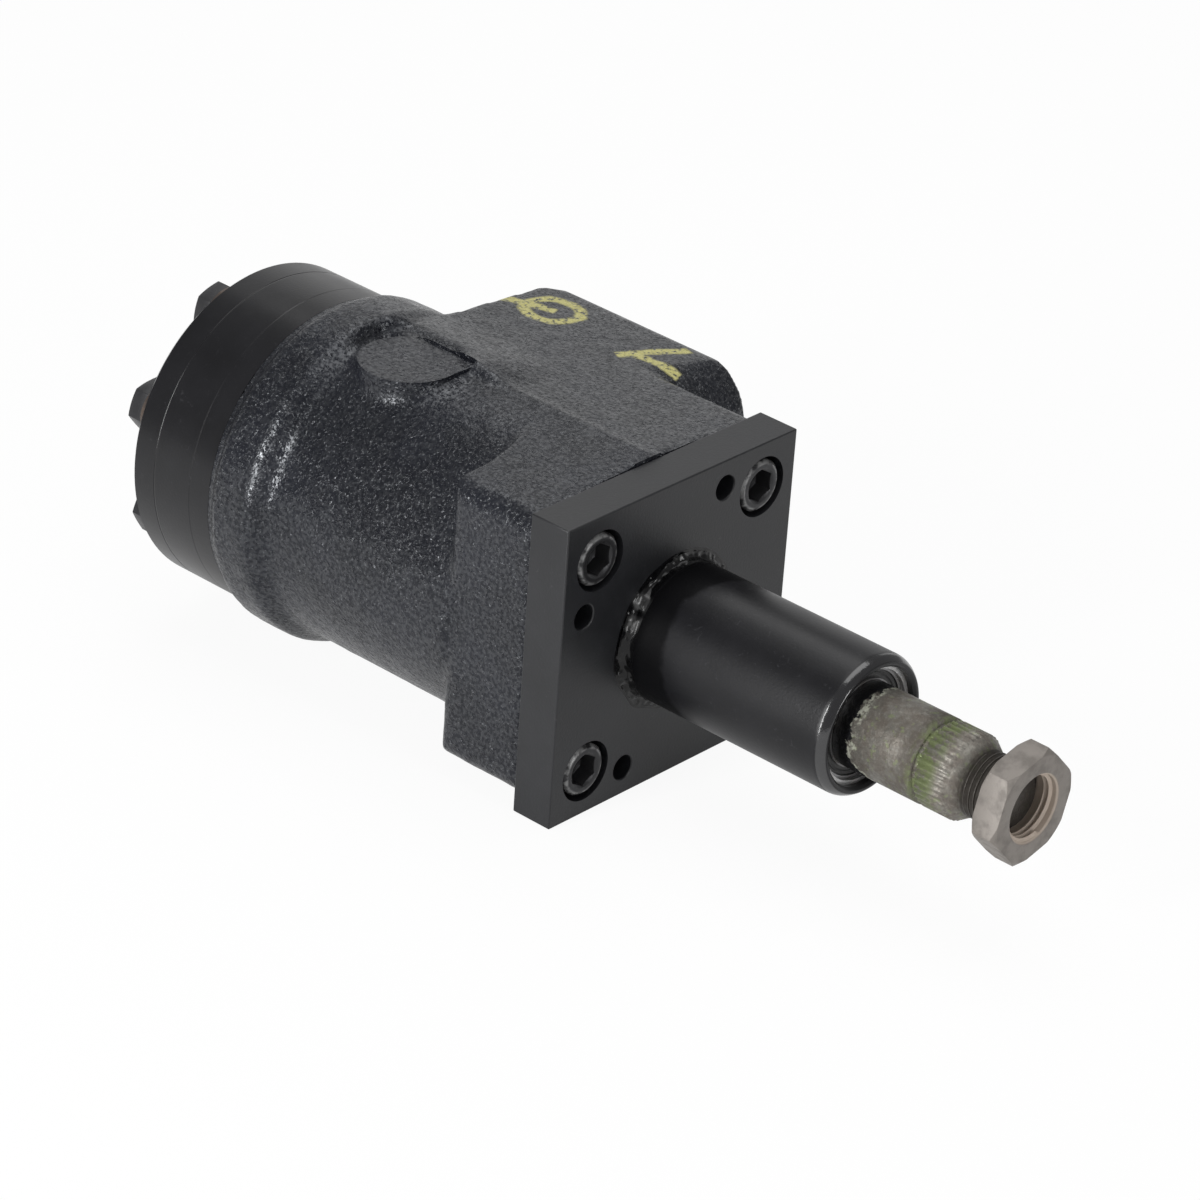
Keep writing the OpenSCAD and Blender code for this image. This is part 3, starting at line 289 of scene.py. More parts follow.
class Finish(Nodes):
    """A material on Object coordinates."""

    def __init__(self, name):
        self.material = bpy.data.materials.new(name)
        self.material.use_nodes = True
        super().__init__(self.material.node_tree)
        self.shader = self.tree.nodes["Principled BSDF"]
        self.place = self.node("ShaderNodeTexCoord").outputs["Object"]

    def set(self, **values):
        for name, value in values.items():
            self.link(value, self.shader.inputs[name.replace("_", " ")])

    def noise(self, scale, detail=2.0, roughness=0.5, distortion=0.0):
        inputs = {"Vector": self.place, "Scale": scale, "Detail": detail, "Roughness": roughness}
        return self.node("ShaderNodeTexNoise", {**inputs, "Distortion": distortion}).outputs["Fac"]

    def step(self, value, low, high, to_low=0.0, to_high=1.0):
        """A smooth ramp of value from low to high."""
        inputs = {"Value": value, "From Min": low, "From Max": high, "To Min": to_low, "To Max": to_high}
        return self.node("ShaderNodeMapRange", inputs, interpolation_type="SMOOTHSTEP").outputs["Result"]

    def along(self, x, start, end):
        """A ramp between two places or distances, in millimetres."""
        return self.step(x, start * MM, end * MM)

    def band(self, x, start, full, fading, end):
        """A stretch that rises and falls again, in millimetres."""
        return self.times(self.along(x, start, full), self.along(x, end, fading))

    def spots(self, low, high, *noise_settings):
        """Patches where a noise passes from low to high."""
        return self.step(self.noise(*noise_settings), low, high)

    def mix(self, share, a, b):
        """A colour between two others."""
        a, b = ((*c, 1.0) if isinstance(c, (tuple, list)) else c for c in (a, b))
        return self.node("ShaderNodeMix", {"Factor": share, 6: a, 7: b}, data_type="RGBA").outputs[2]

    def blend(self, share, a, b):
        """A value between two others."""
        return self.node("ShaderNodeMix", {"Factor": share, 2: a, 3: b}, data_type="FLOAT").outputs[0]

    def axes(self, place=None):
        return self.node("ShaderNodeSeparateXYZ", {0: place or self.place}).outputs

    def radius(self, a, b):
        return self.math("SQRT", self.plus(self.times(a, a), self.times(b, b)))

    def bump(self, height, distance, strength=1.0):
        inputs = {"Strength": strength, "Distance": distance, "Height": height}
        return self.node("ShaderNodeBump", inputs).outputs["Normal"]


def tinted(base, factor):
    return tuple(min(1.0, c * factor) for c in base)


def across_stroke(coat, distance, width):
    """Share of a painted stroke, by the distance from its middle."""
    return coat.step(distance, width * 0.68 * MM, width * 0.3 * MM)


def ring_stroke(coat, place, x, y, r, width):
    """Share of a painted ring on the casting's top, in millimetres."""
    place_x, place_y, _ = coat.axes(place)
    from_middle = coat.radius(coat.minus(place_x, x * MM), coat.minus(place_y, y * MM))
    return across_stroke(coat, coat.math("ABSOLUTE", coat.minus(from_middle, r * MM)), width)


def bar_stroke(coat, place, x, y, angle, reach, width):
    """Share of a painted bar on the casting's top, in millimetres and radians."""
    middle = (x * MM, y * MM, 0)
    shift = coat.node("ShaderNodeVectorMath", {0: place, 1: middle}, operation="SUBTRACT")
    turn = coat.node(
        "ShaderNodeVectorRotate", {"Vector": shift.outputs[0], "Angle": -angle}, rotation_type="Z_AXIS"
    )
    along, across, _ = coat.axes(turn.outputs[0])
    inside = coat.step(coat.math("ABSOLUTE", along), reach * 0.52 * MM, reach * 0.48 * MM)
    return coat.times(inside, across_stroke(coat, coat.math("ABSOLUTE", across), width))


def paint_marks(coat, z):
    """Share of the generic strokes of a worn paint pen, with wavering edges."""
    waver = coat.node("ShaderNodeTexNoise", {"Vector": coat.place, "Scale": 160.0}).outputs["Color"]
    inputs = {0: waver, 1: (0.0022, 0.0022, 0), 2: coat.place}
    place = coat.node("ShaderNodeVectorMath", inputs, operation="MULTIPLY_ADD").outputs[0]
    strokes = ring_stroke(coat, place, *RING_MARK)
    for bar in BAR_MARKS:
        strokes = coat.math("MAXIMUM", strokes, bar_stroke(coat, place, *bar))
    on_top = coat.step(z, MARKS_FROM * MM, MARKS_TO * MM)
    return coat.times(strokes, on_top, coat.spots(0.33, 0.5, 700.0, 3.0, 0.6))


def cast_finish(colours):
    """Rough black paint on cast iron, with yellow paint marks on top."""
    coat = Finish("black_cast_paint")
    _, _, z = coat.axes()
    height = coat.plus(coat.times(coat.noise(700.0), 0.35), coat.times(coat.noise(1700.0, 1.0), 0.2))
    height = coat.plus(height, coat.times(coat.spots(0.52, 0.75, 1150.0, 1.0), 0.45))
    dark, light = tinted(colours.cast_paint, 0.8), tinted(colours.cast_paint, 1.25)
    paint = coat.mix(coat.spots(0.35, 0.65, 45.0, 3.0), dark, light)
    # Sparse light specks in the paint, partly dust and partly painted sparkle that stands in for glints
    # on the grainy surface
    paint = coat.mix(coat.times(coat.spots(0.6, 0.72, 1500.0, 1.0), 0.35), paint, CAST_DUST_AND_SPARKLE)
    marks = paint_marks(coat, z)
    rough = coat.blend(coat.spots(0.3, 0.7, 260.0), 0.2, 0.3)
    coat.set(
        Base_Color=coat.mix(marks, paint, tuple(colours.mark_paint)),
        Roughness=coat.blend(marks, rough, 0.6),
        Specular_Tint=(0.93, 0.96, 1.0, 1.0),
        Specular_IOR_Level=coat.blend(coat.spots(0.4, 0.62, 950.0, 1.0), 0.28, 0.7),
        Normal=coat.bump(height, 0.00042),
    )
    return coat.material


def satin_finish(name, base, rough=(0.26, 0.4), grain=0.00004, sheen=0.35):
    """Smooth black paint over turned steel, with faint marks and dust."""
    coat = Finish(name)
    cloud = coat.noise(60.0, 4.0, 0.6)
    paint = coat.mix(coat.step(cloud, 0.3, 0.7), tinted(base, 0.85), tinted(base, 1.2))
    scuffs = coat.times(coat.spots(0.62, 0.72, 500.0, 4.0, 0.7, 1.5), 0.25)
    coat.set(
        Base_Color=coat.mix(scuffs, paint, SATIN_SCUFF),
        Roughness=coat.blend(cloud, *rough),
        Specular_IOR_Level=sheen,
        Normal=coat.bump(coat.noise(1400.0), grain, 0.6),
    )
    return coat.material


def tube_finish(base):
    """Satin paint with painted shade at the weld, darker and duller up to a ragged slanted edge, and worn
    bright at the mouth.
    """
    coat = Finish("tube_paint")
    x, y, z = coat.axes()
    cloud = coat.noise(60.0, 4.0, 0.6)
    tube_r = TUBE_R * MM
    across = coat.plus(coat.times(y, ROOT_LEAN_Y / tube_r), coat.times(z, ROOT_LEAN_Z / tube_r))
    slant = coat.times(across, across, ROOT_LEAN * MM)
    ragged = coat.times(coat.minus(coat.noise(90.0, 3.0), 0.5), ROOT_RAGGED * MM)
    # root: share of the painted shade, the darker colour at the tube's root where the weld's shadow and
    # dark reflection fall
    root = coat.along(coat.minus(x, coat.plus(slant, ragged)), *ROOT_SHADE)
    scuffs = coat.times(coat.spots(0.6, 0.72, 380.0, 4.0, 0.7, 1.5), 0.3)
    paint = coat.mix(coat.step(cloud, 0.3, 0.7), tinted(base, 0.85), tinted(base, 1.2))
    paint = coat.mix(scuffs, paint, TUBE_SCUFF)
    outside = coat.step(coat.radius(y, z), (TUBE_R - WORN_IN) * MM, (TUBE_R - WORN_OUT) * MM)
    worn = coat.times(coat.along(x, TUBE_END - WORN_FROM, TUBE_END - WORN_TO), outside)
    coat.set(
        Base_Color=coat.mix(root, paint, THICK_PAINT_AND_SHADE),
        Roughness=coat.blend(worn, coat.blend(cloud, 0.28, 0.42), 0.15),
        Specular_IOR_Level=coat.blend(worn, coat.blend(root, 0.28, 0.1), 1.0),
        Normal=coat.bump(coat.noise(1400.0), 0.00004, 0.6),
    )
    return coat.material


def weld_finish():
    """Thick glossy black paint, darker still as partly painted shade, that shines on the two largest
    lumps of the weld.
    """
    coat = Finish("weld_paint")
    shine = 0.0
    for angle, _ in WELD_LUMPS[:2]:
        lump = on_weld(angle, SHINE_OUT) * MM
        away = coat.node("ShaderNodeVectorMath", {0: coat.place, 1: lump}, operation="DISTANCE")
        shine = coat.math("MAXIMUM", shine, coat.along(away.outputs["Value"], *SHINE_REACH))
    gloss = coat.blend(coat.noise(300.0, 3.0, 0.6), 0.18, 0.26)
    coat.set(
        # The weld's black paint, darker still as partly painted shade
        Base_Color=(*THICK_PAINT_AND_SHADE, 1.0),
        Specular_IOR_Level=coat.blend(shine, 0.3, 1.0),
        Roughness=coat.blend(shine, gloss, 0.34),
        Normal=coat.bump(coat.noise(150.0, 1.0), 0.0004),
    )
    return coat.material


def steel_finish(name, base, rough=(0.32, 0.5), brown=0.25, metal=0.85):
    """Bare steel with dull brown patches and fine scratches."""
    coat = Finish(name)
    patches = coat.spots(0.4, 0.65, 220.0, 4.0, 0.6)
    browned = (base[0] * 0.75, base[1] * 0.6, base[2] * 0.45)
    steel = coat.mix(coat.times(patches, brown * 2), base, browned)
    fine = coat.noise(1500.0, 3.0, 0.6)
    steel = coat.mix(coat.times(coat.step(fine, 0.45, 0.7), 0.35), steel, tinted(base, 1.5))
    coat.set(Base_Color=steel, Metallic=metal, Roughness=coat.blend(patches, *rough))
    coat.set(Normal=coat.bump(fine, 0.00003, 0.7))
    return coat.material


def plain_finish(name, base, rough, metal=0.0):
    """A finish for the pieces inside, with slight variation."""
    coat = Finish(name)
    cloud = coat.noise(400.0, 3.0)
    coat.set(Base_Color=coat.mix(cloud, tinted(base, 0.85), tinted(base, 1.1)), Metallic=metal)
    coat.set(Roughness=coat.blend(cloud, rough * 0.85, rough * 1.15))
    coat.set(Normal=coat.bump(coat.noise(1200.0), 0.00002, 0.5))
    return coat.material


def screw_finish():
    """Dark screws with a painted highlight, a lighter colour in patches round the rims of their heads."""
    coat = Finish("screw_steel")
    _, y, z = coat.axes()
    off_axis = (coat.minus(coat.math("ABSOLUTE", side), SCREW_PITCH * MM) for side in (y, z))
    head = coat.step(coat.radius(*off_axis), 0.0056, 0.0064)
    # rim: share of the painted highlight round each head's rim
    rim = coat.times(head, coat.spots(0.35, 0.6, 500.0, 3.0))
    coat.set(Base_Color=coat.mix(rim, SCREW_DARK, SCREW_RIM_HIGHLIGHT), Metallic=0.6)
    coat.set(Roughness=coat.blend(coat.noise(900.0), 0.3, 0.5))
    coat.set(Normal=coat.bump(coat.noise(1500.0), 0.00003, 0.6))
    return coat.material


def shaft_finish(base, paint):
    """Dull pitted steel with rust, a green smear and a darker threaded end, under paint that ends past
    the bearing.
    """
    coat = Finish("shaft_steel")
    x, _, z = coat.axes()
    patches = coat.spots(0.38, 0.62, 230.0, 4.0, 0.65)
    pits = coat.noise(950.0, 2.0, 0.6)
    dull = (base[0] * 0.6, base[1] * 0.5, base[2] * 0.48)
    steel = coat.mix(coat.times(patches, 0.55), base, dull)
    steel = coat.mix(coat.times(coat.step(pits, 0.52, 0.68), 0.35), steel, tinted(base, 1.8))
    steel = coat.mix(coat.times(coat.step(pits, 0.46, 0.34), 0.35), steel, tinted(base, 0.45))
    steel = coat.mix(coat.times(coat.along(x, *DARK_COLLAR), 0.42), steel, tinted(base, 0.35))
    rust = coat.times(coat.band(x, *RUSTY), coat.spots(0.42, 0.58, 260.0, 4.0, 0.7))
    steel = coat.mix(coat.times(rust, 0.45), steel, RUST)
    from_below = coat.step(z, SMEAR_LOW * MM, SMEAR_HIGH * MM, 0.35, 1.0)
    smear = coat.times(coat.band(x, *SMEARED), from_below, coat.spots(0.4, 0.54, 330.0, 4.0, 0.7), 0.72)
    traces = coat.times(coat.spots(0.56, 0.66, 420.0, 3.0, 0.7), 0.35)
    steel = coat.mix(coat.math("MAXIMUM", smear, traces), steel, GREEN_SMEAR)
    # The threaded end is coloured darker
    steel = coat.mix(coat.times(coat.along(x, *DARK_THREAD), 0.85), steel, THREAD_DARK_TONE)
    # The paint reaches further out below, and ends in a ragged chipped edge
    ragged = coat.times(coat.minus(coat.noise(420.0, 3.0, 0.7), 0.5), PAINT_RAGGED * MM)
    lower = coat.times(coat.math("MAXIMUM", coat.minus(PAINT_LOWER * MM, z), 0.0), 0.8)
    past = coat.minus(coat.minus(x, PAINT_END * MM), coat.plus(ragged, lower))
    chips = coat.times(coat.step(past, 0.0026, 0.0004), coat.spots(0.42, 0.55, 700.0))
    steel = coat.mix(coat.times(chips, 0.75), steel, PAINT_CHIPS)
    painted = coat.step(past, 0.0002, -0.0002)
    coat.set(
        Base_Color=coat.mix(painted, steel, paint),
        Metallic=coat.times(coat.minus(1.0, painted), 0.5),
        Roughness=coat.blend(painted, coat.blend(patches, 0.42, 0.6), 0.3),
        Normal=coat.bump(pits, 0.00016, 0.9),
    )
    return coat.material


def nut_finish(base):
    """Patchy dull steel, with a warmer bare thread."""
    coat = Finish("nut_steel")
    _, y, z = coat.axes()
    patches = coat.spots(0.4, 0.66, 230.0, 4.0, 0.6)
    steel = coat.mix(coat.times(patches, 0.5), base, tinted(base, 0.6))
    bore = coat.step(coat.radius(y, z), 0.0095, 0.0091)
    coat.set(Base_Color=coat.mix(bore, steel, NUT_THREAD))
    coat.set(Metallic=coat.times(coat.minus(1.0, bore), 0.35))
    coat.set(Roughness=coat.blend(patches, 0.5, 0.65))
    coat.set(Normal=coat.bump(coat.noise(1300.0, 3.0), 0.00005, 0.8))
    return coat.material


def floor_paper():
    """A pale floor that looks white to the camera and keeps the unit's shadow."""
    paper = bpy.data.materials.new("floor_paper")
    paper.use_nodes = True
    nodes = Nodes(paper.node_tree)
    nodes.tree.nodes.remove(nodes.tree.nodes["Principled BSDF"])
    path = nodes.node("ShaderNodeLightPath").outputs
    bounce = nodes.times(path["Is Glossy Ray"], FLOOR_GLOSS)
    share = nodes.math("MULTIPLY_ADD", path["Is Camera Ray"], FLOOR_SEEN, bounce)
    diffuse = nodes.node("ShaderNodeBsdfDiffuse", {"Color": (0.85, 0.85, 0.85, 1)}).outputs[0]
    glow = nodes.node("ShaderNodeEmission", {"Color": (1, 1, 1, 1)}).outputs[0]
    mixed = nodes.node("ShaderNodeMixShader", {0: share, 1: diffuse, 2: glow}).outputs[0]
    nodes.link(mixed, nodes.tree.nodes["Material Output"].inputs["Surface"])
    return paper


def studio_world():
    """A white world that lights at a lower level than it shows."""
    world = bpy.data.worlds.new("studio")
    world.use_nodes = True
    nodes = Nodes(world.node_tree)
    back = nodes.tree.nodes["Background"]
    path = nodes.node("ShaderNodeLightPath").outputs
    seen = nodes.math("MAXIMUM", path["Is Camera Ray"], path["Is Transmission Ray"])
    level = nodes.math("MULTIPLY_ADD", seen, WORLD_SEEN - WORLD_LEVEL, WORLD_LEVEL)
    level = nodes.math("MULTIPLY_ADD", path["Is Glossy Ray"], WORLD_GLOSS - WORLD_LEVEL, level)
    nodes.link((1, 1, 1, 1), back.inputs["Color"])
    nodes.link(level, back.inputs["Strength"])
    return world


# Mesh helpers


def radius_of(v):
    """A vertex's distance from the shaft axis, in millimetres."""
    return math.hypot(v.co.y, v.co.z) / MM


def set_radius(v, r):
    """Moves a vertex to a distance from the shaft axis, in millimetres."""
    scale = r / radius_of(v)
    v.co.y *= scale
    v.co.z *= scale


def smooth_step(value, low, high):
    t = min(1.0, max(0.0, (value - low) / (high - low)))
    return t * t * (3 - 2 * t)


def copied(node, flat=0.3):
    """A CAD node's mesh as one merged bmesh, with faces that lie flat within an angle made whole."""
    bm = bmesh.new()
    bm.from_mesh(NODES[node].data)
    bmesh.ops.remove_doubles(bm, verts=bm.verts, dist=2e-6)
    if flat:
        bmesh.ops.dissolve_limit(
            bm, angle_limit=math.radians(flat), verts=bm.verts, edges=bm.edges,
            use_dissolve_boundaries=False, delimit=set(),
        )
    return bm


def ease(bm, edges, offset, segments=2):
    bmesh.ops.bevel(
        bm, geom=edges, offset=offset, offset_type="OFFSET", affect="EDGES", segments=segments,
        profile=0.5, clamp_overlap=True, material=-1,
    )


def sharp_edges(bm, angle, longer=0.0):
    limit = math.radians(angle)
    edges = (e for e in bm.edges if e.is_manifold and e.calc_face_angle(0.0) > limit)
    return [e for e in edges if e.calc_length() > longer]


def eased_copy(node, angle, width, segments=2, flat=0.3):
    """A CAD node's mesh with its sharp edges eased by a width in millimetres."""
    bm = copied(node, flat)
    ease(bm, sharp_edges(bm, angle), width * MM, segments)
    return bm


def turn_about_shaft(bm, degrees):
    turn = Matrix.Rotation(math.radians(degrees), 3, "X")
    bmesh.ops.rotate(bm, cent=(0, 0, 0), matrix=turn, verts=bm.verts)


def smooth(bm, verts, times):
    for _ in range(times):
        bmesh.ops.smooth_vert(
            bm, verts=verts, factor=0.5, use_axis_x=True, use_axis_y=True, use_axis_z=True
        )


def eased_profile(points):
    """Turns [x, r, rounding] corners in millimetres into a profile with rounded corners."""
    profile = []
    for i, point in enumerate(points):
        x, r, rounding = (*point, 0.0)[:3]
        here = Vector((x, r))
        if not rounding or i in (0, len(points) - 1):
            profile.append(here)
            continue
        before = (Vector(points[i - 1][:2]) - here).normalized()
        after = (Vector(points[i + 1][:2]) - here).normalized()
        a, b = here + before * rounding, here + after * rounding
        profile += [a.lerp(here, t).lerp(here.lerp(b, t), t) for t in (0, 0.25, 0.5, 0.75, 1)]
    return profile


def turned(bm, points, steps=192, closed=False):
    """Adds a profile of [x, r, rounding] turned about the shaft axis, in millimetres."""
    profile = eased_profile(points)
    verts = [bm.verts.new((p[0] * MM, 0, max(p[1], 0.0) * MM)) for p in profile]
    edges = [bm.edges.new((a, b)) for a, b in zip(verts, verts[1:])]
    if closed:
        edges.append(bm.edges.new((verts[-1], verts[0])))
    bmesh.ops.spin(
        bm, geom=verts + edges, cent=(0, 0, 0), axis=(1, 0, 0), dvec=(0, 0, 0), angle=2 * math.pi,
        steps=steps, use_merge=True, use_normal_flip=False, use_duplicate=False,
    )
    bmesh.ops.remove_doubles(bm, verts=bm.verts, dist=1e-7)
    bmesh.ops.recalc_face_normals(bm, faces=bm.faces)


def thread_ridge(bm, x0, x1, root_r, crest_r, pitch):
    """Adds a V-shaped helical ridge about the X axis, in millimetres, from root_r to crest_r."""
    per_turn, foot, crest = 72, 0.44 * pitch, 0.066 * pitch
    turns = (x1 - x0 - pitch) / pitch
    shape = [(-foot, root_r), (-crest, crest_r), (crest, crest_r), (foot, root_r)]
    first = bm.faces.new([bm.verts.new(((x0 + pitch / 2 + x) * MM, 0, r * MM)) for x, r in shape])
    steps = max(8, round(per_turn * turns))
    made = bmesh.ops.spin(
        bm, geom=[first], cent=(0, 0, 0), axis=(1, 0, 0), dvec=(pitch * turns / steps * MM, 0, 0),
        angle=2 * math.pi * turns, steps=steps, use_merge=False, use_normal_flip=False,
        use_duplicate=False,
    )
    ends = [first] + [g for g in made["geom_last"] if isinstance(g, bmesh.types.BMFace)][:1]
    for end in ends:
        if end.is_valid:
            for v in end.verts:
                set_radius(v, root_r)
    bmesh.ops.recalc_face_normals(bm, faces=bm.faces)


def drill(bm, x, y0, y1, z, r):
    """Adds a cylinder along Y, in millimetres."""
    place = Matrix.Translation((x * MM, (y0 + y1) / 2 * MM, z * MM))
    bmesh.ops.create_cone(
        bm, cap_ends=True, cap_tris=False, segments=96, radius1=r * MM, radius2=r * MM,
        depth=(y1 - y0) * MM, matrix=place @ Matrix.Rotation(math.pi / 2, 4, "X"),
    )


def half_round(r, cut_y, z0, z1):
    """An upright prism on the boss's centre, in millimetres: a half round with one square corner."""
    bm = bmesh.new()
    steps = 56
    start = math.pi - math.asin((cut_y - BOSS_Y) / r)
    turns = [start + (2 * math.pi - start) * k / steps for k in range(steps + 1)]
    outline = [(BOSS_X + r * math.cos(a), BOSS_Y + r * math.sin(a)) for a in turns]
    outline.append((BOSS_X + r, cut_y))
    verts = [bm.verts.new((x * MM, y * MM, z0 * MM)) for x, y in outline]
    made = bmesh.ops.extrude_face_region(bm, geom=[bm.faces.new(verts)])
    top = [g for g in made["geom"] if isinstance(g, bmesh.types.BMVert)]
    bmesh.ops.translate(bm, verts=top, vec=(0, 0, (z1 - z0) * MM))
    bmesh.ops.recalc_face_normals(bm, faces=bm.faces)
    return bm


def on_weld(angle, out):
    """A place on the weld, in millimetres: an angle round the tube and a distance from its wall."""
    a = math.radians(angle)
    return Vector((LUMP_X, (TUBE_R + out) * math.cos(a), (TUBE_R + out) * math.sin(a)))


def as_mesh(name, bm):
    """A new mesh from a bmesh, which is freed."""
    mesh = bpy.data.meshes.new(name)
    bm.to_mesh(mesh)
    bm.free()
    return mesh


def placed(name, data):
    """A new object in the scene."""
    made = bpy.data.objects.new(name, data)
    bpy.context.scene.collection.objects.link(made)
    return made


def finished(name, bm, body, finish, stands_for=(), sharp=35.0):
    """Makes the piece, hands it its finish and ties it to the frame."""
    mesh = as_mesh(name, bm)
    for p in mesh.polygons:
        p.use_smooth = True
    mesh.set_sharp_from_angle(angle=math.radians(sharp))
    mesh.materials.append(finish)
    piece = placed(name, mesh)
    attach(piece, body)
    if stands_for:
        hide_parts(*stands_for)
    return piece


def merge_into(bm, other, matrix):
    """Adds another bmesh to this one, moved by a matrix."""
    mesh = as_mesh("part", other)
    mesh.transform(matrix)
    bm.from_mesh(mesh)
    bpy.data.meshes.remove(mesh)


def boolean(name, bm, operation, solver, **settings):
    """A Boolean modifier with a helper object made from a bmesh."""
    helper = placed(name, as_mesh(name, bm))
    return "BOOLEAN", {"object": helper, "operation": operation, "solver": solver, **settings}


def evaluated(bm, *modifiers):
    """The bmesh after modifiers, each a (type, settings) pair, whose helper objects are removed."""
    work = placed("work", as_mesh("work", bm))
    for kind, settings in modifiers:
        modifier = work.modifiers.new(kind.title(), kind)
        for key, value in settings.items():
            setattr(modifier, key, value)
    bpy.context.view_layer.update()
    result = bmesh.new()
    result.from_mesh(work.evaluated_get(bpy.context.evaluated_depsgraph_get()).to_mesh())
    for helper in [work] + [settings["object"] for _, settings in modifiers if "object" in settings]:
        mesh = helper.data
        bpy.data.objects.remove(helper)
        bpy.data.meshes.remove(mesh)
    return result


# Operators


class SU_OT_casting(bpy.types.Operator):
    """Build the rough painted casting"""

    bl_idname = "steering.casting"
    bl_label = "Casting"

    def execute(self, context):
        sizes, colours = context.scene.unit_sizes, context.scene.unit_colours
        skin = self.raw_skin(sizes.cast_grain)
        self.weather(skin, sizes.cast_smoothing, sizes.cast_wave)
        over = half_round(BOSS_R, BOSS_CUT_Y, BOSS_TOP, BOSS_TOP + ABOVE_BOSS)
        pad = half_round(BOSS_R + 0.05, BOSS_CUT_Y - 0.05, BOSS_TOP - BOSS_PAD, BOSS_TOP)
        skin = evaluated(
            skin,
            boolean("over", over, "DIFFERENCE", "MANIFOLD"),
            boolean("pad", pad, "UNION", "MANIFOLD"),
        )
        finished("casting", skin, HOUSING, cast_finish(colours), ["valve_housing"], 60.0)
        return {"FINISHED"}

    def raw_skin(self, grain):
        """The casting with its bore plugged, its ports open and its boss raised, in even small faces."""
        plug, ports = bmesh.new(), bmesh.new()
        ends = [(CAST_REAR, 0), (CAST_REAR, BORE_PLUG_R), (PLATE_REAR, BORE_PLUG_R), (PLATE_REAR, 0)]
        turned(plug, ends, steps=96)
        for x, floor, z in PORTS:
            drill(ports, x, floor - 0.2, PORT_FACE + PAST_PORT, z, PORT_DRILL_R)
            drill(ports, x, PORT_FACE - SPOT_DEPTH, PORT_FACE + PAST_PORT, z, SPOT_R + 0.05)
        blank = half_round(BOSS_R - 0.15, BOSS_CUT_Y, BOSS_TOP - BOSS_ROOT, BOSS_TOP - 0.1)
        skin = evaluated(
            copied("valve_housing", flat=0),
            boolean("core", plug, "UNION", "EXACT"),
            boolean("cutter", ports, "DIFFERENCE", "EXACT", use_self=True),
            boolean("blank", blank, "UNION", "EXACT"),
            ("REMESH", {"mode": "VOXEL", "voxel_size": grain, "use_smooth_shade": True}),
        )
        if len(skin.faces) < FEWEST_SKIN_FACES:
            raise RuntimeError("the casting's skin wasn't made: %d faces" % len(skin.faces))
        return skin

    def weather(self, skin, smoothing, wave_height):
        """Eases the skin's edges and gives it the unevenness of a casting."""
        rear, front = (CAST_REAR + REAR_BAND) * MM, (PLATE_REAR - PLATE_BAND) * MM
        for v in skin.verts:
            if v.co.x < rear and radius_of(v) > GEAR_R - REAR_BAND_DEPTH:
                set_radius(v, GEAR_R)
        free = [v for v in skin.verts if rear < v.co.x < front]
        smooth(skin, free, smoothing)
        smooth(skin, [v for v in free if self.at_boss_foot(*(v.co / MM))], BOSS_EASING)
        skin.normal_update()
        for v in free:
            if v.co.y < (PORT_FACE - PORT_BAND) * MM:
                wave = noise.noise(v.co * 170) + 0.5 * noise.noise(v.co * 420 + Vector((3, 5, 7)))
                v.co += v.normal * (wave_height * (wave - 0.6))
            if v.co.z > CROWN_Z * MM:
                v.co.z += self.crown_lift(v.co.x / MM, v.co.y / MM) * MM

    def at_boss_foot(self, x, y, z):
        """Whether a place lies round the boss's wall on its near side."""
        from_boss = math.hypot(x - BOSS_X, y - BOSS_Y)
        near_wall = BOSS_R - 1.5 < from_boss < BOSS_R + FOOT_WIDTH
        return z > FOOT_Z and y < BOSS_CUT_Y - 1 and near_wall

    def crown_lift(self, x, y):
        """Lift of the casting's top: a soft seam along the crown and a swell beyond the boss."""
        along = smooth_step(x, SEAM_START, SEAM_FULL) * smooth_step(x, PLATE_REAR - 0.5, PLATE_REAR - 3)
        seam = SEAM_HEIGHT * along * math.exp(-(((y - SEAM_Y) / SEAM_WIDTH) ** 2))
        swell = smooth_step(x, *SWELL_FRONT) * smooth_step(x, *SWELL_REAR) * smooth_step(y, *SWELL_SIDE)
        return seam + SWELL_HEIGHT * swell * smooth_step(y, BOSS_CUT_Y - SWELL_EDGE, BOSS_CUT_Y)


class SU_OT_port_linings(bpy.types.Operator):
    """Build the machined port faces and their threads"""

    bl_idname = "steering.port_linings"
    bl_label = "Port linings"

    def execute(self, context):
        pitch = context.scene.unit_sizes.port_pitch / MM
        outer, mouth, root = PORT_R + 1.55, PORT_R + 1.6, PORT_R + 0.9
        face, seat, taper = -SPOT_SINK, -SPOT_SINK - 1.0, -SPOT_SINK - 1.4
        bm = bmesh.new()
        for x, floor, z in PORTS:
            lining = bmesh.new()
            low = floor - PORT_FACE
            turned(lining, [
                (low - 0.15, 0), (low - 0.15, outer), (seat, outer), (seat, SPOT_R), (face, SPOT_R),
                (face, mouth, 0.1), (taper, root), (low + 0.1, root), (low + 0.1, 0),
            ], steps=96)
            thread_ridge(lining, low + 1.2, face - 1.2, root + 0.03, PORT_R, pitch)
            upright = Matrix.Translation((x * MM, PORT_FACE * MM, z * MM))
            merge_into(bm, lining, upright @ Matrix.Rotation(math.pi / 2, 4, "Z"))
        steel = steel_finish("machined_ports", (0.16, 0.16, 0.165), rough=(0.35, 0.5), brown=0.1)
        finished("port_linings", bm, HOUSING, steel)
        return {"FINISHED"}


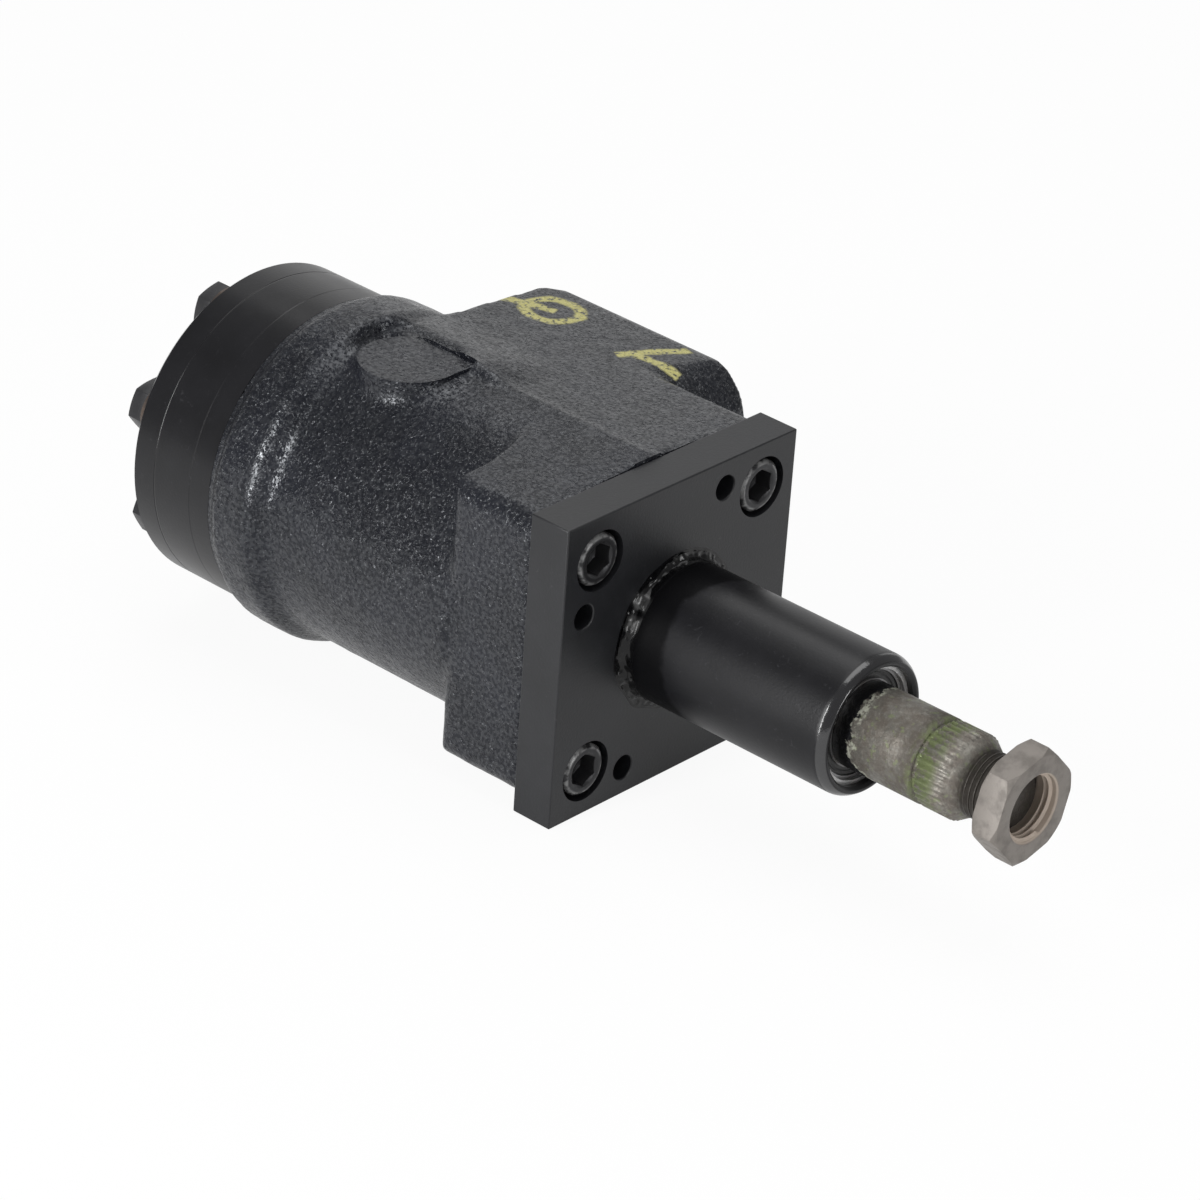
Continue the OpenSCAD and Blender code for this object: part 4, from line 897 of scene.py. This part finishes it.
class SU_OT_plate(bpy.types.Operator):
    """Build the mounting plate and its screws"""

    bl_idname = "steering.plate"
    bl_label = "Plate and screws"

    def execute(self, context):
        sizes, colours = context.scene.unit_sizes, context.scene.unit_colours
        bm = copied("mounting_plate")
        ease(bm, sharp_edges(bm, 60, 0.01), sizes.plate_edge, 3)
        rims = [e for e in bm.edges if all(self.on_bracket_rim(v.co / MM) for v in e.verts)]
        ease(bm, rims, BRACKET_EDGE * MM)
        paint = satin_finish("plate_paint", colours.plate_paint, (0.34, 0.5), 0.00006, 0.42)
        plate = finished("plate", bm, HOUSING, paint, ["mounting_plate"])
        for p in plate.data.polygons:
            p.use_smooth = p.area < SMALL_PLATE_FACE * MM ** 2
        bm = eased_copy("plate_screws", 25, SCREW_EDGE)
        finished("screws", bm, HOUSING, screw_finish(), ["plate_screws"])
        return {"FINISHED"}

    def on_bracket_rim(self, place):
        """Whether a place lies on the front rim of a bracket hole."""
        x, y, z = place
        near_circle = abs(math.hypot(y, z) - BRACKET_R) < BRACKET_RIM
        return x > -0.01 and near_circle and min(abs(y), abs(z)) < BRACKET_REACH


class SU_OT_column(bpy.types.Operator):
    """Build the column tube, its weld and its bearing"""

    bl_idname = "steering.column"
    bl_label = "Column"

    def execute(self, context):
        self.tube(tuple(context.scene.unit_colours.satin_paint))
        self.weld()
        self.bearing()
        return {"FINISHED"}

    def tube(self, paint):
        """The tube, with a rounded worn mouth and the retaining ring's groove."""
        bm = bmesh.new()
        groove_r = MOUTH_R + SNAP_GROOVE
        turned(bm, [
            (TUBE_REAR, TUBE_BORE_R), (TUBE_REAR, TUBE_R), (TUBE_END - 1.9, TUBE_R, MOUTH_ROUNDING),
            (TUBE_END, TUBE_R - MOUTH_ROUNDING, 0.4), (TUBE_END, MOUTH_R + MOUTH_CHAMFER, 0.25),
            (TUBE_END - MOUTH_CHAMFER, MOUTH_R),
            (SNAP_FRONT + 0.05, MOUTH_R), (SNAP_FRONT + 0.05, groove_r), (SNAP_REAR - 0.05, groove_r),
            (SNAP_REAR - 0.05, MOUTH_R), (BEARING_REAR, MOUTH_R), (BEARING_REAR, TUBE_BORE_R),
        ], closed=True)
        finished("tube", bm, HOUSING, tube_finish(paint), ["column_tube"])

    def weld(self):
        """A hollow fillet with soft lumps."""
        reach = (WELD_R - TUBE_R) * WELD_SHARE
        profile = [(0.01, TUBE_R + 0.02), (0.01, TUBE_R + reach)]
        steps = 14
        for k in range(1, steps):
            t = k / steps
            sag = WELD_SAG * math.sin(math.pi * t)
            profile.append((reach * t - sag, TUBE_R + reach * (1 - t) - sag))
        profile.append((reach, TUBE_R + 0.02))
        bm = bmesh.new()
        turned(bm, profile, steps=360, closed=True)
        for v in bm.verts:
            r = radius_of(v)
            if r > TUBE_R + 0.1:
                x, y, z = place = v.co / MM
                if x > 0.1:
                    outwards = Vector((1, y / r, z / r)) * DIAGONAL
                    v.co += outwards * ((0.8 * self.lump(place) - 0.1) * MM)
                else:
                    spread = 0.8 * noise.noise(Vector((y * 0.12, z * 0.12, 4.0)))
                    v.co += Vector((0, y / r, z / r)) * ((spread - 0.5) * MM)
        finished("weld", bm, HOUSING, weld_finish(), ["weld_bead"], 80.0)

    def lump(self, place):
        """How far the weld's face stands out at a place: two waves and the lumps, in millimetres."""
        x, y, z = place
        height = noise.noise(Vector((x * 0.2, y * 0.22, z * 0.22)))
        height += 0.5 * noise.noise(Vector((x * 0.5, y * 0.55, z * 0.55)))
        for angle, lump in WELD_LUMPS:
            away = (place - on_weld(angle, LUMP_OUT)).length
            height += lump * math.exp(-((away / LUMP_SPREAD) ** 2))
        return height

    def bearing(self):
        """The bearing's ring finish, its two shields and its retaining ring."""
        steel = steel_finish("bearing_steel", (0.22, 0.22, 0.225), (0.3, 0.45), 0.15, 0.6)
        for node in ("bearing_outer_ring", "bearing_inner_ring"):
            NODES[node].data.materials.clear()
            NODES[node].data.materials.append(steel)
        front, rear = BEARING_FRONT - 0.3, BEARING_REAR + 0.3
        bm = bmesh.new()
        turned(bm, [
            (front - 0.45, SHIELD_BORE_R), (front - 0.45, SHIELD_R), (front - 0.05, SHIELD_R, 0.1),
            (front, 13.6, 0.1), (front - 0.2, 13.2, 0.1), (front, 12.6, 0.1), (front - 0.05, 11.9),
        ], closed=True)
        turned(bm, [
            (rear, SHIELD_BORE_R), (rear, SHIELD_R), (rear + 0.4, SHIELD_R), (rear + 0.4, SHIELD_BORE_R),
        ], closed=True)
        rubber = plain_finish("bearing_rubber", (0.012, 0.012, 0.012), 0.45)
        finished("shields", bm, HOUSING, rubber, ["bearing_shields"])
        bm = eased_copy("bearing_snap_ring", 40, SNAP_EDGE, 1)
        turn_about_shaft(bm, SNAP_TURN)
        worn = steel_finish("snap_ring_steel", (0.4, 0.4, 0.4), (0.3, 0.45), 0.1, 0.6)
        finished("snap_ring", bm, HOUSING, worn, ["bearing_snap_ring"])


class SU_OT_shaft(bpy.types.Operator):
    """Build the steering shaft with its serrations and thread"""

    bl_idname = "steering.shaft"
    bl_label = "Shaft"

    def execute(self, context):
        sizes, colours = context.scene.unit_sizes, context.scene.unit_colours
        bm = copied("steering_shaft", flat=0)
        for v in bm.verts:
            x, r = v.co.x / MM, radius_of(v)
            if x > THREAD_START + 0.02 and r > 1:
                set_radius(v, r - THREAD_DEPTH)
            elif SMOOTH_FROM < x < SMOOTH_TO and SHAFT_R - SPLINE_DEPTH < r < SHAFT_R:
                set_radius(v, SHAFT_R - 0.01)
        root, crest = THREAD_R - THREAD_DEPTH - 0.1, THREAD_R - 0.03
        pitch = sizes.thread_pitch / MM
        thread_ridge(bm, THREAD_START + 0.2, THREAD_END - 0.3, root, crest, pitch)
        finish = shaft_finish(tuple(colours.bare_steel), tuple(colours.satin_paint))
        finished("shaft", bm, SPOOL, finish, ["steering_shaft"])
        return {"FINISHED"}


class SU_OT_nut(bpy.types.Operator):
    """Build the wheel nut with its thread"""

    bl_idname = "steering.nut"
    bl_label = "Wheel nut"

    def execute(self, context):
        sizes, colours = context.scene.unit_sizes, context.scene.unit_colours
        bm = eased_copy("wheel_nut", 20, NUT_EDGE, flat=1.0)
        turn_about_shaft(bm, NUT_TURN)
        for v in bm.verts:
            if v.co.x < (NUT_REAR + NUT_FRONT) / 2 * MM:
                v.co.x += NUT_TRIM * MM
        root, crest = THREAD_R + 0.1, THREAD_R - 0.75
        thread_ridge(bm, THREAD_END - 0.4, NUT_FRONT - 0.35, root, crest, sizes.thread_pitch / MM)
        finished("nut", bm, SPOOL, nut_finish(tuple(colours.nut_steel)), ["wheel_nut"])
        return {"FINISHED"}


class SU_OT_gear_case(bpy.types.Operator):
    """Build the ring, spacer plate, end cap and bolts behind the casting"""

    bl_idname = "steering.gear_case"
    bl_label = "Gear case"

    def execute(self, context):
        paint = satin_finish("gear_case_paint", context.scene.unit_colours.satin_paint, (0.24, 0.36))
        dressed = {"cap": "end_cap", "gear_ring": "gerotor_ring", "spacer": "spacer_plate"}
        for name, node in dressed.items():
            bm = copied(node)
            if name == "gear_ring":
                for v in bm.verts:
                    if GEAR_R - 0.6 < radius_of(v) < GEAR_R - 0.1:
                        set_radius(v, GEAR_R - 0.06)
            if name == "cap":
                rim = [e for e in bm.edges if all(self.on_cap_rim(v) for v in e.verts)]
                ease(bm, rim, CAP_EDGE * MM)
            finished(name, bm, HOUSING, paint, [node], 20.0)
        paint = satin_finish("bolt_paint", (0.02, 0.02, 0.022), (0.3, 0.45), 0.00005)
        bm = eased_copy("end_cap_bolts", 20, BOLT_EDGE, flat=1.0)
        finished("cap_bolts", bm, HOUSING, paint, ["end_cap_bolts"])
        return {"FINISHED"}

    def on_cap_rim(self, v):
        """Whether a vertex lies on the cap's outer edge against the ring."""
        return v.co.x > CAP_FRONT * MM - 1e-6 and radius_of(v) > GEAR_R - 0.05


class SU_OT_inner_finishes(bpy.types.Operator):
    """Give every CAD node its finish, also the ones that dressed pieces replace"""

    bl_idname = "steering.inner_finishes"
    bl_label = "Inner finishes"

    def execute(self, context):
        ground = steel_finish("ground_steel", (0.55, 0.55, 0.56), (0.18, 0.3), 0.03)
        finishes = {
            "rubber": plain_finish("seal_rubber", (0.014, 0.014, 0.014), 0.5),
            "brass": plain_finish("cage_brass", (0.5, 0.36, 0.13), 0.32, 1.0),
            "ptfe": plain_finish("backup_plastic", (0.7, 0.69, 0.64), 0.5),
            "copper_washer": steel_finish("washer_metal", (0.12, 0.1, 0.09), (0.35, 0.5), 0.3),
            "dark_steel": steel_finish("spring_steel", (0.16, 0.165, 0.18), (0.25, 0.4), 0.1),
        }
        for sub in frame["record"]["subparts"]:
            mesh = NODES[sub["node"]].data
            mesh.materials.clear()
            mesh.materials.append(finishes.get(sub["material_slot"], ground))
        return {"FINISHED"}


class SU_OT_stage(bpy.types.Operator):
    """Build the floor, the world and the lights"""

    bl_idname = "steering.stage"
    bl_label = "Stage"

    def execute(self, context):
        context.scene.view_settings.view_transform = "Standard"
        context.scene.world = studio_world()
        self.floor()
        for name, place, width, height, watts in LAMPS:
            light = bpy.data.lights.new(name, "AREA")
            light.shape = "RECTANGLE"
            light.size, light.size_y = width, height
            light.energy = watts
            lamp = placed(name, light)
            lamp.location = place
            aim = Vector(LAMP_TARGET) - Vector(place)
            lamp.rotation_euler = aim.to_track_quat("-Z", "Y").to_euler()
        return {"FINISHED"}

    def floor(self):
        """The floor on which the unit rests, on its plate and its gear case."""
        bm = bmesh.new()
        bmesh.ops.create_grid(bm, x_segments=1, y_segments=1, size=FLOOR_HALF)
        slope = Matrix.Rotation(-math.atan(REST_SLOPE), 4, "Y")
        drop = Matrix.Translation((0, 0, -(REST_DROP + FLOOR_GAP) * MM))
        bmesh.ops.transform(bm, matrix=drop @ slope, verts=bm.verts)
        floor = placed("floor", as_mesh("floor", bm))
        floor.data.materials.append(floor_paper())


class SU_OT_camera(bpy.types.Operator):
    """Place the camera at the photograph's viewing angle"""

    bl_idname = "steering.camera"
    bl_label = "Camera"

    def execute(self, context):
        data = bpy.data.cameras.new("camera")
        data.lens, data.sensor_width = LENS, SENSOR
        data.clip_start, data.clip_end = NEAREST, FARTHEST
        forward = Vector(CAMERA_FORWARD)
        side = forward.cross(Vector(CAMERA_UP)).normalized()
        up = side.cross(forward).normalized()
        turn = Matrix((side, up, -forward)).transposed().to_4x4()
        camera = placed("camera", data)
        camera.matrix_world = Matrix.Translation(CAMERA_PLACE) @ turn
        context.scene.camera = camera
        return {"FINISHED"}


class SU_PT_panel(bpy.types.Panel):
    """Steering unit pieces"""

    bl_label = "Steering Unit"
    bl_idname = "SU_PT_panel"
    bl_space_type = "VIEW_3D"
    bl_region_type = "UI"
    bl_category = "Steering Unit"

    def draw(self, context):
        for group in (context.scene.unit_sizes, context.scene.unit_colours):
            box = self.layout.box()
            for key in group.bl_rna.properties.keys():
                if key not in {"rna_type", "name"}:
                    box.prop(group, key)
        for operator in OPERATORS:
            self.layout.operator(operator.bl_idname)


OPERATORS = (
    SU_OT_camera,
    SU_OT_inner_finishes,
    SU_OT_casting,
    SU_OT_port_linings,
    SU_OT_plate,
    SU_OT_column,
    SU_OT_shaft,
    SU_OT_nut,
    SU_OT_gear_case,
    SU_OT_stage,
)
CLASSES = (UnitSizes, UnitColours, *OPERATORS, SU_PT_panel)


def register():
    for c in CLASSES:
        bpy.utils.register_class(c)
    bpy.types.Scene.unit_sizes = bpy.props.PointerProperty(type=UnitSizes)
    bpy.types.Scene.unit_colours = bpy.props.PointerProperty(type=UnitColours)


def unregister():
    del bpy.types.Scene.unit_colours
    del bpy.types.Scene.unit_sizes
    for c in reversed(CLASSES):
        bpy.utils.unregister_class(c)


def main():
    register()
    for operator in OPERATORS:
        group, name = operator.bl_idname.split(".")
        getattr(getattr(bpy.ops, group), name)()


if __name__ == "__main__":
    main()
